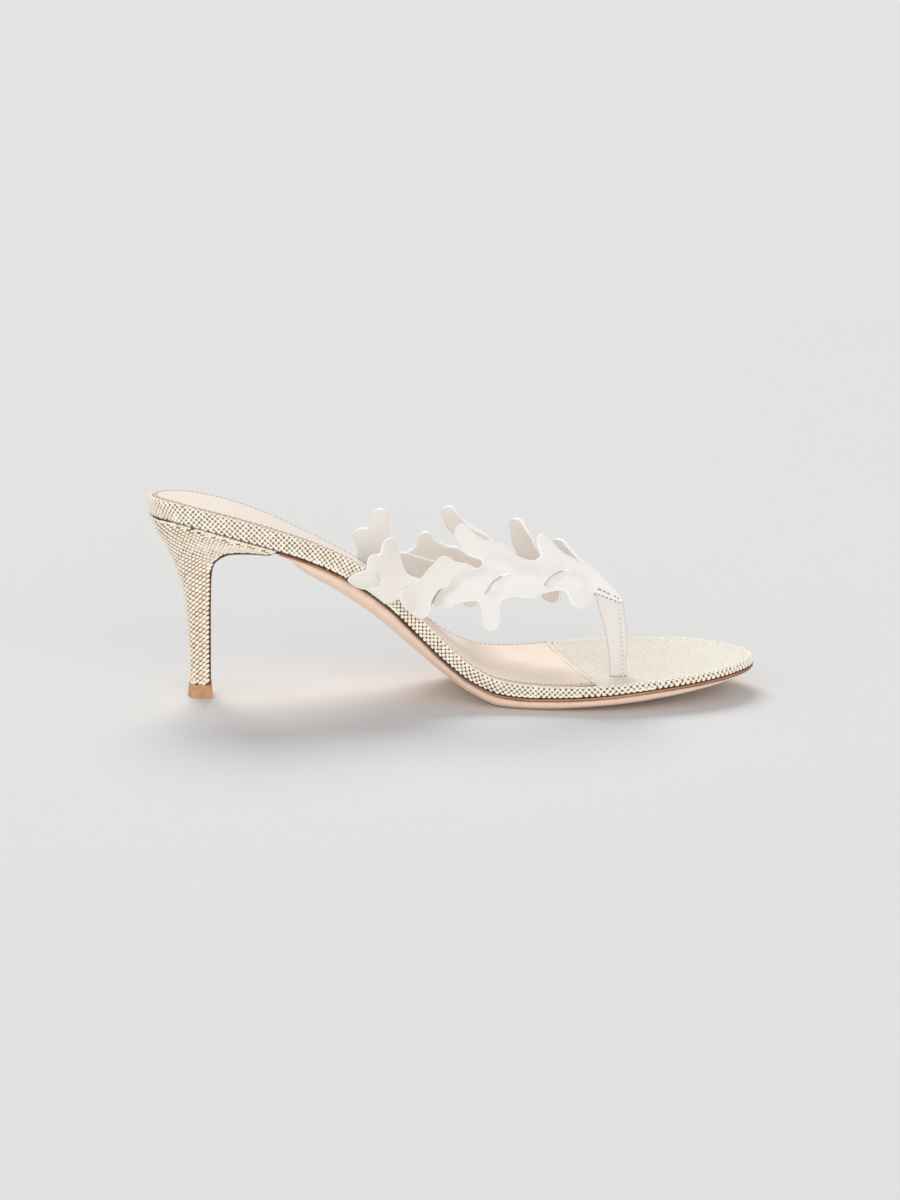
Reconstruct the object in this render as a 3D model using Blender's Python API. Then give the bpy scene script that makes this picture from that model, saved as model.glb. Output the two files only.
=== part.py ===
"""Heeled thong sandal (slip-on mule), left shoe, as an assembly of separate pieces.

Run with: blender --background --python part.py
Metres in the scene; every number in the tables and constants below is in millimetres.
Working frame: x runs from the back of the heel seat (1.6) to the toe (230), y is
negative on the inner (medial) side, z is the height above the floor. At the end
everything is shifted so that the origin is under the middle of the shoe's box.
"""

import math

import bpy
import numpy as np
from mathutils.geometry import delaunay_2d_cdt

# ---------------------------------------------------------------- sizes (mm)
LENGTH = 230.0          # x of the toe tip; the heel seat's back is at 1.6
GAP = 0.30              # clearance kept between neighbouring pieces
HEEL_GAP = 0.45         # the same above the heel, whose top is coarser
EDGE = 1.1              # visible thickness of the outsole's edge
FLAP_THICK = 0.65       # outsole leather skived down over the heel breast
HEEL_TUCK = 1.2         # the rand's back wall slopes in by this much at its bottom
SOCK_SEAT = 0.6         # the insole lies this deep in the padded footbed
SOCK_THICK = 0.8        # insole leather
SOCK_INSET = 2.2        # canvas roll left showing round the insole
SOCK_FRONT = 160.5      # where the insole leather ends, on the spine
SOCK_SKEW = 0.13        # its front edge runs further forward on the inner side
DISH = 1.0              # how far the footbed is hollowed across
BELLY_ROUND = 10.0      # distance from the edge over which the underside rounds off
LIFT_HEIGHT = 4.9       # top piece under the heel
HEEL_FOOT = 5.2         # bottom of the covered heel
HEEL_SEAT_END = 48.6    # front of the heel's cup, under the waist
SOLE_START = 49.2       # rear end of the sole pad, where the breast flap joins it
HEEL_ANCHOR = 22.0      # spine points that the rounded heel and toe fan out from
TOE_ANCHOR = 196.0
STATIONS = 30           # cross sections between those two
STRAP_THICK = 1.7       # leather of the linked straps
STRAP_BLEND = 1.3       # fillet between a link's branches
SLOT_DEPTH = 2.2        # recess in the footbed that takes the toe post


def table(names, rows):
    """Columns by name from rows of numbers."""
    data = np.array(rows, float)
    return {name: data[:, i] for i, name in enumerate(names.split())}


# One row for each cross section, heel to toe.
#   medial, lateral  half widths of the footbed's outline
#   top              height of the footbed's edge line
#   cant             inner edge raised, outer edge lowered, by this much
#   board            depth of the covered footbed, measured upright
#   belly            how far the underside bulges below the outsole's edge
SECTIONS = table("x medial lateral top cant board belly", [
    (0.0, 0.0, 0.0, 76.4, 0.8, 7.0, 0.2),
    (10.0, 17.2, 17.2, 75.6, 0.8, 7.0, 0.2),
    (20.0, 20.9, 21.0, 73.7, 0.6, 7.1, 0.2),
    (30.0, 22.8, 22.9, 71.2, 0.7, 7.2, 0.2),
    (40.0, 23.5, 23.7, 68.1, 1.0, 7.2, 0.2),
    (50.0, 23.3, 23.8, 64.5, 1.5, 7.2, 0.4),
    (60.0, 22.4, 23.9, 60.3, 2.2, 7.3, 4.4),
    (70.0, 21.2, 24.0, 55.6, 2.6, 7.6, 5.3),
    (80.0, 20.1, 24.3, 50.0, 2.8, 8.0, 6.1),
    (90.0, 19.5, 25.0, 42.3, 2.7, 7.9, 6.4),
    (100.0, 20.1, 26.2, 32.3, 2.3, 7.4, 5.5),
    (110.0, 22.2, 27.8, 22.8, 1.4, 6.7, 4.6),
    (120.0, 25.4, 30.2, 15.2, 0.5, 5.8, 4.2),
    (130.0, 28.6, 32.8, 11.1, 0.1, 5.2, 4.6),
    (140.0, 31.2, 34.9, 10.0, 0.0, 4.8, 4.2),
    (150.0, 33.5, 37.2, 9.7, 0.0, 4.2, 4.2),
    (160.0, 35.2, 39.1, 10.0, 0.0, 3.9, 4.0),
    (170.0, 35.7, 40.2, 10.6, 0.0, 3.7, 4.0),
    (180.0, 34.4, 39.7, 11.1, 0.0, 3.4, 4.1),
    (190.0, 31.9, 38.2, 11.5, 0.0, 3.1, 3.9),
    (200.0, 28.5, 35.8, 12.0, 0.0, 3.0, 3.4),
    (210.0, 23.7, 32.0, 12.6, 0.0, 3.0, 2.7),
    (220.0, 16.0, 24.0, 13.1, 0.0, 3.0, 1.9),
    (230.0, 0.0, 0.0, 13.4, 0.0, 3.0, 0.9),
])

# The outline where it rounds off at the back and at the toe: a row for each point
# that the curve passes through, from the inner side round the end to the outer side.
HEEL_ROUND = table("x y", [
    (32.0, -23.0), (22.0, -21.4), (12.7, -18.1), (6.3, -12.8), (2.8, -6.8), (1.6, 0.0),
    (2.8, 6.8), (6.3, 12.8), (12.7, 18.1), (22.0, 21.5), (32.0, 23.1),
])
TOE_ROUND = table("x y", [
    (187.0, -32.7), (196.0, -30.0), (205.0, -26.4), (213.0, -21.9), (220.0, -16.0), (226.0, -8.8),
    (229.4, -1.6), (230.0, 4.5), (228.3, 11.5), (224.0, 18.9), (217.5, 26.3), (208.0, 33.0),
    (196.0, 37.0), (187.0, 38.8),
])

# Side profile of the covered heel: a row for each slice, top to bottom.
#   z      height of the slice at x = 25        lean   slope of the slice's plane
#   back   front   where the slice starts and ends along x
#   half   half width across the breast         full   how square its back corners are
HEEL = table("z lean back front half full", [
    (65.0, -0.310, 3.0, 48.6, 22.9, 0.62),
    (62.6, -0.267, 3.2, 46.0, 21.0, 0.66),
    (59.6, -0.150, 5.4, 37.6, 17.4, 0.72),
    (57.4, -0.090, 7.6, 30.6, 14.7, 0.76),
    (54.7, -0.040, 9.3, 27.3, 12.1, 0.80),
    (51.6, -0.015, 10.8, 25.4, 10.0, 0.83),
    (47.5, 0.0, 12.5, 24.5, 8.4, 0.84),
    (38.0, 0.0, 15.1, 24.2, 6.4, 0.82),
    (28.0, 0.0, 16.2, 24.15, 5.6, 0.80),
    (16.0, 0.0, 16.9, 24.12, 5.1, 0.80),
    (5.2, 0.0, 17.1, 24.12, 4.9, 0.80),
])

# The surface that each arm of the strap lies in: y at height z, leaning over the foot.
INNER_ARM = table("x y z lean", [
    (72.0, -22.8, 45.0, 0.10), (82.0, -22.5, 43.0, 0.14), (92.0, -22.3, 40.0, 0.22),
    (102.0, -24.0, 37.0, 0.30), (114.0, -26.6, 36.0, 0.36), (126.0, -27.6, 36.0, 0.38),
    (138.0, -26.6, 37.0, 0.40), (150.0, -23.4, 38.0, 0.38), (160.0, -20.0, 39.0, 0.30),
    (168.0, -17.6, 39.0, 0.20), (180.0, -16.4, 38.0, 0.10),
])
OUTER_ARM = table("x y z lean", [
    (72.0, 25.8, 50.0, -0.12), (82.0, 26.2, 50.0, -0.18), (92.0, 27.0, 52.0, -0.30),
    (104.0, 27.4, 54.0, -0.42), (116.0, 25.6, 55.0, -0.50), (128.0, 22.0, 55.0, -0.52),
    (140.0, 15.6, 54.0, -0.50), (150.0, 7.4, 51.0, -0.46), (160.0, -4.0, 47.0, -0.36),
    (168.0, -12.4, 42.0, -0.22), (176.0, -15.3, 39.0, -0.10), (184.0, -15.8, 38.0, -0.10),
])

# Branches of the strap's links, seen from the side. A row for each branch: which link,
# its root (x0, z0) with radius r0 and its tip (x1, z1) with radius r1.
INNER_BRANCHES = table("link x0 z0 r0 x1 z1 r1", [
    (1, 77.1, 47.3, 1.3, 84.1, 47.9, 1.9), (1, 84.1, 47.1, 3.5, 92.2, 45.1, 3.9),
    (1, 83.0, 44.6, 3.0, 87.7, 42.7, 3.3), (1, 84.5, 50.0, 3.3, 83.7, 54.7, 2.4),
    (1, 90.0, 51.6, 4.1, 89.7, 59.8, 3.0), (1, 92.6, 46.5, 3.0, 98.8, 46.4, 2.0),
    (2, 97.6, 41.1, 3.5, 107.1, 45.9, 4.8), (2, 109.0, 49.1, 3.4, 109.8, 53.4, 2.5),
    (2, 109.7, 50.1, 3.2, 116.6, 50.6, 2.9), (2, 107.9, 46.9, 4.5, 121.0, 48.5, 3.2),
    (2, 97.6, 41.5, 3.3, 100.8, 37.3, 3.2), (2, 107.8, 44.2, 4.5, 112.2, 45.0, 3.7),
    (3, 108.8, 41.9, 3.5, 118.7, 46.2, 4.5), (3, 118.7, 46.2, 4.5, 128.3, 47.8, 4.5),
    (3, 116.6, 64.1, 3.1, 119.8, 59.9, 2.7), (3, 119.8, 59.9, 2.7, 129.3, 57.1, 3.4),
    (3, 129.9, 52.9, 5.0, 131.0, 51.9, 5.4), (3, 131.0, 51.9, 5.4, 141.0, 48.1, 5.2),
    (3, 125.9, 41.9, 3.3, 126.0, 33.7, 3.3), (4, 127.8, 44.7, 3.0, 140.9, 47.1, 5.0),
    (4, 140.9, 47.1, 4.9, 154.7, 47.7, 4.5), (4, 146.5, 60.8, 2.5, 149.4, 56.0, 2.4),
    (4, 149.4, 56.0, 2.4, 153.6, 50.2, 3.4), (4, 154.7, 47.7, 4.5, 160.0, 46.0, 3.4),
    (5, 148.9, 45.9, 2.6, 158.1, 46.4, 3.9), (5, 158.1, 46.4, 3.9, 164.3, 44.8, 3.5),
    (5, 164.3, 44.8, 3.4, 169.6, 40.6, 2.1), (5, 169.6, 40.6, 2.1, 174.1, 38.5, 1.6),
    (5, 157.7, 43.3, 2.6, 158.0, 40.5, 2.5), (5, 161.5, 42.3, 3.0, 161.4, 39.3, 3.0),
])
OUTER_BRANCHES = table("link x0 z0 r0 x1 z1 r1", [
    (1, 79.4, 40.1, 3.5, 88.5, 44.6, 5.1), (1, 88.4, 47.9, 4.7, 89.6, 62.5, 3.2),
    (1, 87.0, 45.5, 3.5, 82.5, 54.6, 2.9), (1, 89.3, 44.5, 4.7, 102.5, 45.1, 3.5),
    (2, 107.5, 52.5, 2.5, 108.5, 48.4, 3.5), (2, 103.3, 45.0, 1.6, 109.4, 47.1, 3.5),
    (2, 109.4, 47.1, 3.7, 119.3, 44.7, 3.1), (2, 119.3, 44.7, 3.1, 128.5, 41.8, 2.5),
    (2, 103.1, 41.2, 3.7, 108.0, 37.5, 3.9), (3, 115.3, 64.0, 2.7, 118.0, 59.4, 2.7),
    (3, 118.0, 59.4, 2.7, 127.0, 52.6, 3.3), (3, 127.0, 52.6, 3.3, 135.7, 46.6, 3.5),
    (3, 121.7, 43.1, 3.1, 130.3, 46.4, 3.9), (3, 124.9, 39.8, 3.3, 125.8, 26.7, 2.8),
    (3, 135.7, 46.6, 3.5, 140.4, 45.6, 3.1), (4, 139.9, 61.1, 2.6, 142.5, 55.1, 2.9),
    (4, 142.5, 55.1, 2.9, 146.6, 48.7, 3.3), (4, 135.6, 43.6, 3.1, 145.9, 45.5, 3.9),
    (4, 145.9, 45.5, 3.9, 156.3, 44.7, 3.6), (4, 141.6, 43.7, 3.1, 142.0, 37.7, 2.9),
    (5, 154.3, 55.8, 2.4, 156.8, 52.0, 2.4), (5, 156.8, 52.0, 2.4, 161.9, 46.4, 3.0),
    (5, 149.8, 42.2, 2.9, 158.8, 45.5, 3.8), (5, 161.9, 46.4, 3.0, 168.6, 42.1, 2.5),
    (5, 168.6, 42.1, 2.5, 174.7, 37.8, 1.7), (5, 152.9, 38.4, 3.1, 153.1, 34.2, 3.0),
])

# Where each link comes out through the slit of the one behind it: a row for each
# link, three points of the slit from its low end to its high end.
INNER_SLITS = table("link x0 z0 x1 z1 x2 z2", [
    (2, 94.0, 43.6, 97.7, 45.2, 101.0, 48.2), (3, 105.2, 39.6, 109.3, 45.1, 118.8, 50.9),
    (4, 124.8, 43.7, 127.9, 47.8, 137.3, 51.0), (5, 146.6, 45.4, 149.0, 48.3, 153.2, 50.0),
])
OUTER_SLITS = table("link x0 z0 x1 z1 x2 z2", [
    (2, 101.6, 40.4, 102.9, 45.5, 106.2, 48.8), (3, 119.7, 38.6, 121.5, 45.7, 128.6, 49.7),
    (4, 133.5, 42.4, 135.7, 47.1, 142.1, 49.9), (5, 148.1, 41.8, 150.2, 45.7, 155.4, 49.8),
])

# The folded toe post: a row for each level, with its back and front edge along x.
POST = table("z back front y thick", [
    (8.4, 172.3, 178.0, -18.6, 2.7),
    (16.0, 171.9, 178.1, -18.3, 2.8),
    (25.0, 170.6, 178.2, -17.7, 2.9),
    (33.0, 168.9, 178.0, -16.9, 3.0),
    (38.0, 167.6, 177.4, -16.2, 3.0),
])
POST_TOP_DROP = 4.4     # the post's top is cut on a slope, lower at its front

# Finish of each piece: colour (linear RGB), roughness.
FINISH = {
    "outsole": ((0.60, 0.40, 0.30), 0.55),
    "heel": ((0.72, 0.64, 0.50), 0.85),
    "top_piece": ((0.50, 0.28, 0.16), 0.60),
    "footbed": ((0.75, 0.68, 0.55), 0.85),
    "insole": ((0.82, 0.70, 0.60), 0.50),
    "upper": ((0.86, 0.84, 0.80), 0.45),
}


# ---------------------------------------------------------------- curves
def smooth(x, columns, name):
    """Value of a table's column at x, by a shape-preserving cubic through its rows."""
    xs, ys = columns["x"], columns[name]
    x = np.clip(np.asarray(x, float), xs[0], xs[-1])
    h = np.diff(xs)
    d = np.diff(ys) / h
    m = np.zeros(len(xs))
    for i in range(1, len(xs) - 1):
        if d[i - 1] * d[i] > 0:
            w0, w1 = 2 * h[i] + h[i - 1], h[i] + 2 * h[i - 1]
            m[i] = (w0 + w1) / (w0 / d[i - 1] + w1 / d[i])
    m[0], m[-1] = d[0], d[-1]
    i = np.clip(np.searchsorted(xs, x, side="right") - 1, 0, len(xs) - 2)
    t = (x - xs[i]) / h[i]
    return (ys[i] * (1 + 2 * t) * (1 - t) ** 2 + m[i] * h[i] * t * (1 - t) ** 2
            + ys[i + 1] * t * t * (3 - 2 * t) + m[i + 1] * h[i] * t * t * (t - 1))


def through(points, count):
    """count points at even steps along a Catmull-Rom curve, leaving out its first and last span."""
    p = np.asarray(points, float)
    dense = []
    for i in range(1, len(p) - 2):
        for t in np.linspace(0, 1, 24, endpoint=False):
            a, b, c, d = p[i - 1], p[i], p[i + 1], p[i + 2]
            dense.append(0.5 * (2 * b + (c - a) * t + (2 * a - 5 * b + 4 * c - d) * t * t
                                + (3 * b - a - 3 * c + d) * t ** 3))
    dense.append(p[-2])
    dense = np.array(dense)
    run = np.concatenate([[0], np.cumsum(np.linalg.norm(np.diff(dense, axis=0), axis=1))])
    at = np.linspace(0, run[-1], count)
    return np.stack([np.interp(at, run, dense[:, k]) for k in (0, 1)], 1)


# ---------------------------------------------------------------- surfaces of the sole
def footbed_edge(x, y):
    return smooth(x, SECTIONS, "top") - smooth(x, SECTIONS, "cant") * y / 22.0


def footbed_top(x, y):
    x, y = np.asarray(x, float), np.asarray(y, float)
    half = np.where(y < 0, smooth(x, SECTIONS, "medial"), smooth(x, SECTIONS, "lateral"))
    half = np.maximum(half, 6.0)
    ends = np.clip(np.minimum(x - 2.0, LENGTH - 2.0 - x) / 16.0, 0, 1)
    toe = np.clip((x - SOCK_FRONT + 10.0) / 16.0, 0, 1)
    seat = SOCK_SEAT * (1 - toe * toe * (3 - 2 * toe))
    return footbed_edge(x, y) - DISH * ends * np.clip(1 - (y / half) ** 2, 0, 1) - seat


def seam(x, y):
    """Where the covered footbed meets the heel and the outsole."""
    return footbed_edge(x, y) - smooth(x, SECTIONS, "board")


def underside(x, y, inset):
    r = np.clip(np.asarray(inset, float) / BELLY_ROUND, 0, 1)
    bulge = np.sqrt(np.clip(1 - (1 - r) ** 2, 0, 1))
    z = seam(x, y) - GAP - EDGE - smooth(x, SECTIONS, "belly") * bulge
    return np.maximum(z, 0.0)


# ---------------------------------------------------------------- meshes
def mesh_object(name, points, faces, sharp=40.0):
    mesh = bpy.data.meshes.new(name)
    mesh.from_pydata([tuple(p) for p in np.asarray(points) * 0.001], [], faces)
    mesh.validate()
    mesh.update()
    mesh.shade_smooth()
    mesh.set_sharp_from_angle(angle=math.radians(sharp))
    obj = bpy.data.objects.new(name, mesh)
    bpy.context.scene.collection.objects.link(obj)
    return obj


def finish(obj, name):
    colour, roughness = FINISH[name]
    material = bpy.data.materials.new(name)
    material.use_nodes = True
    shader = material.node_tree.nodes["Principled BSDF"]
    shader.inputs["Base Color"].default_value = (*colour, 1)
    shader.inputs["Roughness"].default_value = roughness
    shader.inputs["Metallic"].default_value = 0.0
    obj.data.materials.clear()
    obj.data.materials.append(material)


def helper(obj):
    obj.hide_render = True
    obj.display_type = "WIRE"


def unite(target, other, operation="UNION"):
    modifier = target.modifiers.new(other.name, "BOOLEAN")
    modifier.operation = operation
    modifier.solver = "EXACT"
    modifier.object = other
    helper(other)


def inside(loop, p):
    x, y = p
    hit = False
    for (x0, y0), (x1, y1) in zip(loop, np.roll(loop, -1, axis=0)):
        if (y0 > y) != (y1 > y) and x < (x1 - x0) * (y - y0) / (y1 - y0) + x0:
            hit = not hit
    return hit


def off_loop(loops, p):
    """Distance from p to the nearest side of the loops."""
    best = 1e9
    for loop in loops:
        a, b = loop, np.roll(loop, -1, axis=0)
        ab, ap = b - a, p - a
        t = np.clip((ap * ab).sum(1) / np.maximum((ab * ab).sum(1), 1e-12), 0, 1)
        best = min(best, np.linalg.norm(ap - ab * t[:, None], axis=1).min())
    return best


def fill(loops, step, margin=0.55, extra=()):
    """Triangles that fill the flat loops (the first is the outer one), with inner points on a staggered grid.

    The extra points are used where they lie inside. Returns all the points, loops first, and the
    triangles, counter-clockwise."""
    rim = np.concatenate(loops)
    low, high = rim.min(0), rim.max(0)
    inner = [p for p in extra if sum(inside(loop, p) for loop in loops) % 2 and off_loop(loops, p) > 0.9]
    kept = np.array(inner).reshape(-1, 2)
    for j, y in enumerate(np.arange(low[1] + step / 2, high[1], step * 0.87)):
        for x in np.arange(low[0] + (step / 2 if j % 2 else step), high[0], step):
            p = np.array((x, y))
            if len(kept) and np.linalg.norm(kept - p, axis=1).min() < step * margin:
                continue
            if sum(inside(loop, p) for loop in loops) % 2 and off_loop(loops, p) > step * margin:
                inner.append(p)
    flat = np.concatenate([rim, np.array(inner).reshape(-1, 2)])
    rings, start = [], 0
    for k, loop in enumerate(loops):
        ring = list(range(start, start + len(loop)))
        area = (loop[:, 0] * np.roll(loop[:, 1], -1) - np.roll(loop[:, 0], -1) * loop[:, 1]).sum()
        if (area > 0) != (k == 0):
            ring.reverse()
        rings.append(ring)
        start += len(loop)
    edges = [(a, b) for ring in rings for a, b in zip(ring, ring[1:] + ring[:1])]
    out = delaunay_2d_cdt([tuple(p) for p in flat], edges, [], 0, 1e-7)
    origin = [o[0] if o else None for o in out[3]]
    triangles = []
    for face in out[2]:
        a, b, c = (origin[i] for i in face)
        middle = (flat[a] + flat[b] + flat[c]) / 3
        if not sum(inside(loop, middle) for loop in loops) % 2:
            continue
        turn = np.cross(flat[b] - flat[a], flat[c] - flat[a])
        if abs(turn) < 1e-9:
            continue
        triangles.append((a, b, c) if turn > 0 else (a, c, b))
    return flat, triangles


class Plan:
    """The shoe's outline seen from above, as rim points with the spine point that each one faces.

    Stations run along both sides in pairs; the toe, and the heel if it is included, fan round one spine point."""

    def __init__(self, first, last, heel_fan, toe_fan, trim=0.0, skew=0.0, round_points=15):
        self.heel_fan, self.toe_fan = heel_fan, toe_fan
        # every piece shares the same stations, so that neighbours follow each other's faces
        shared = np.linspace(HEEL_ANCHOR, TOE_ANCHOR, STATIONS)
        spine = np.array([first] + [s for s in shared if first + 1.5 < s < last - 1.5] + [last])
        sides = {}
        for sign, name in ((-1, "medial"), (1, "lateral")):
            rim = []
            for s in spine:
                share = np.clip((s - (last - 50.0)) / 50.0, 0, 1) if skew else 0.0
                y = sign * smooth(s, SECTIONS, name)
                for _ in range(6):
                    x = s - skew * share * y
                    y = sign * (smooth(x, SECTIONS, name) - trim)
                rim.append((x, y))
            sides[name] = np.array(rim, float)
        self.spine = np.stack([spine, (sides["medial"][:, 1] + sides["lateral"][:, 1]) / 2], 1)
        self.count = len(spine)
        parts, anchors = [sides["medial"]], [self.spine]
        if toe_fan:
            fan = self.fan(TOE_ROUND, self.spine[-1], trim, round_points)
            parts.append(fan[1:-1])
            anchors.append(np.repeat(self.spine[-1:], len(fan) - 2, 0))
            parts[0][-1] = fan[0]
            sides["lateral"][-1] = fan[-1]
        parts.append(sides["lateral"][::-1])
        anchors.append(self.spine[::-1])
        if heel_fan:
            fan = self.fan(HEEL_ROUND, self.spine[0], trim, round_points)[::-1]
            parts.append(fan[1:-1])
            anchors.append(np.repeat(self.spine[:1], len(fan) - 2, 0))
            parts[0][0] = fan[-1]
            parts[-2][-1] = fan[0]
        self.rim, self.anchor = np.concatenate(parts), np.concatenate(anchors)
        size = len(self.rim)
        index = list(range(self.count))
        self.facing = index + ([self.count - 1] * (len(parts[1])) if toe_fan else [])
        self.facing += index[::-1]
        self.facing += [0] * (size - len(self.facing))
        self.closed = heel_fan

    @staticmethod
    def fan(rounding, centre, trim, count):
        curve = through(np.stack([rounding["x"], rounding["y"]], 1), count)
        reach = np.linalg.norm(curve - centre, axis=1)[:, None]
        return centre + (curve - centre) * (1 - trim / reach)

    def ring(self, inset, tuck=0.0):
        """The outline moved in by inset, and by tuck more at the very back."""
        reach = np.linalg.norm(self.rim - self.anchor, axis=1)[:, None]
        more = tuck * np.clip((16.0 - self.rim[:, :1]) / 14.0, 0, 1)
        return self.anchor + (self.rim - self.anchor) * (1 - (inset + more) / reach)


def sole_piece(name, plan, layers, spine_top, spine_bottom, sharp=40.0):
    """A closed piece from rings at given insets: layers run from the top spine out, down the side and in below."""
    size, rings = len(plan.rim), len(layers)
    points = []
    for inset, height, *tuck in layers:
        ring = plan.ring(inset, *tuck)
        points.append(np.column_stack([ring, height(ring[:, 0], ring[:, 1], inset)]))
    top = np.column_stack([plan.spine, spine_top(plan.spine[:, 0], plan.spine[:, 1])])
    bottom = np.column_stack([plan.spine, spine_bottom(plan.spine[:, 0], plan.spine[:, 1])])
    points += [top, bottom]
    t0, b0 = size * rings, size * rings + plan.count
    faces = []
    for i in range(size if plan.closed else size - 1):
        j = (i + 1) % size
        fi, fj = plan.facing[i], plan.facing[j]
        for k in range(rings - 1):
            faces.append((k * size + i, (k + 1) * size + i, (k + 1) * size + j, k * size + j))
        last = (rings - 1) * size
        if fi == fj:
            faces.append((t0 + fi, i, j))
            faces.append((b0 + fi, last + j, last + i))
        else:
            faces.append((t0 + fi, i, j, t0 + fj))
            faces.append((last + i, b0 + fi, b0 + fj, last + j))
    def cut(i, other, s):
        down = [k * size + i for k in range(rings)]
        up = [k * size + other for k in range(rings - 1, -1, -1)]
        return [t0 + s] + down + [b0 + s] + up
    if not plan.heel_fan:
        faces.append(tuple(cut(0, size - 1, 0)[::-1]))
    if not plan.toe_fan:
        m = plan.count - 1
        faces.append(tuple(cut(m, m + 1, m)))
        # the side walls skip the span across the open front
        skip = {(k * size + m, (k + 1) * size + m, (k + 1) * size + m + 1, k * size + m + 1) for k in range(rings - 1)}
        faces = [f for f in faces if tuple(f) not in skip and f != (t0 + m, m, m + 1) and f != (b0 + m, (rings - 1) * size + m + 1, (rings - 1) * size + m)]
    return mesh_object(name, np.concatenate(points), faces, sharp)


# ---------------------------------------------------------------- pieces of the sole
def make_footbed():
    """Insole board and rand under one canvas cover, with a rounded top edge and a slot for the toe post."""
    plan = Plan(HEEL_ANCHOR, TOE_ANCHOR, True, True)
    board = lambda x: smooth(x, SECTIONS, "board")
    layers = [
        (13.0, lambda x, y, d: footbed_top(x, y)),
        (6.0, lambda x, y, d: footbed_top(x, y)),
        (1.9, lambda x, y, d: footbed_top(x, y)),
        (1.3, lambda x, y, d: footbed_edge(x, y) - 0.08),
        (0.6, lambda x, y, d: footbed_edge(x, y) - 0.3),
        (0.1, lambda x, y, d: footbed_edge(x, y) - 1.1),
        (-0.1, lambda x, y, d: footbed_edge(x, y) - 0.5 * board(x), 0.55 * HEEL_TUCK),
        (0.1, lambda x, y, d: seam(x, y) + 0.35, HEEL_TUCK),
        (0.4, lambda x, y, d: seam(x, y), HEEL_TUCK),
        (8.0, lambda x, y, d: seam(x, y)),
    ]
    footbed = sole_piece("footbed", plan, layers, footbed_top, seam)
    y, half = POST["y"][0], POST["thick"][0] / 2 + GAP
    floor = float(footbed_top(175.0, y)) - SLOT_DEPTH
    slot = box_between("post_slot", (POST["back"][0] - GAP, y - half, floor), (POST["front"][0] + GAP, y + half, floor + 8.0))
    unite(footbed, slot, "DIFFERENCE")
    return footbed


def box_between(name, low, high):
    (x0, y0, z0), (x1, y1, z1) = low, high
    points = [(x, y, z) for z in (z0, z1) for x, y in ((x0, y0), (x1, y0), (x1, y1), (x0, y1))]
    faces = [(3, 2, 1, 0), (4, 5, 6, 7)] + [(i, (i + 1) % 4, (i + 1) % 4 + 4, i + 4) for i in range(4)]
    return mesh_object(name, points, faces)


def make_insole():
    """Thin leather over the footbed from the heel to the ball."""
    plan = Plan(HEEL_ANCHOR, SOCK_FRONT, True, False, trim=SOCK_INSET, skew=SOCK_SKEW, round_points=13)
    low = lambda x, y, d=0: footbed_top(x, y) + GAP + 0.08
    high = lambda x, y, d=0: footbed_top(x, y) + GAP + 0.08 + SOCK_THICK
    layers = [(11.0, high), (4.0, high), (0.5, high), (0.0, lambda x, y, d: low(x, y) + 0.45 * SOCK_THICK), (0.1, low), (4.0, low), (11.0, low)]
    return sole_piece("insole", plan, layers, high, low)


def make_outsole():
    """Leather sole: thin painted edge, rounded underside, and the flap that runs down the heel's breast."""
    plan = Plan(SOLE_START, TOE_ANCHOR, False, True)
    upper_face = lambda x, y, d=0: seam(x, y) - GAP
    layers = [
        (8.0, upper_face),
        (0.5, upper_face),
        (0.2, lambda x, y, d: seam(x, y) - GAP - 0.15),
        (0.1, lambda x, y, d: seam(x, y) - GAP - EDGE + 0.15),
        (0.3, lambda x, y, d: underside(x, y, 0.05)),
        (1.2, lambda x, y, d: underside(x, y, d)),
        (3.2, lambda x, y, d: underside(x, y, d)),
        (6.0, lambda x, y, d: underside(x, y, d)),
        (11.0, lambda x, y, d: underside(x, y, d)),
    ]
    outsole = sole_piece("outsole", plan, layers, upper_face, lambda x, y: underside(x, y, 99.0))
    unite(outsole, make_flap())
    return outsole


def heel_slices(count):
    """The heel's slices, evenly spread between the rows of its table."""
    rows = len(HEEL["z"])
    at = np.linspace(0, rows - 1, count)
    column = {"x": np.arange(rows, dtype=float)}
    column.update(HEEL)
    slices = [{name: float(smooth(t, column, name)) for name in HEEL} for t in at]
    for t, one in zip(at, slices):
        one["follow"] = max(0.0, 1.0 - t / 2.1)     # the upper slices tilt with the seat above them
    return slices


def sideways(x, y):
    """How much higher the seam is at y than on the spine."""
    return seam(x, y) - seam(x, 0 * y)


def breast_line():
    """Side profile of the heel's front, from under the waist down to the floor end, with its normals."""
    slices = heel_slices(41)
    line = np.array([(s["front"], s["z"] + s["lean"] * (s["front"] - 25.0), 0.86 * s["half"], s["follow"])
                     for s in slices[2:]])
    ahead = np.gradient(line[:, :2], axis=0)
    normal = np.stack([-ahead[:, 1], ahead[:, 0]], 1)
    normal /= np.linalg.norm(normal, axis=1)[:, None]
    return line, normal


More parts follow.
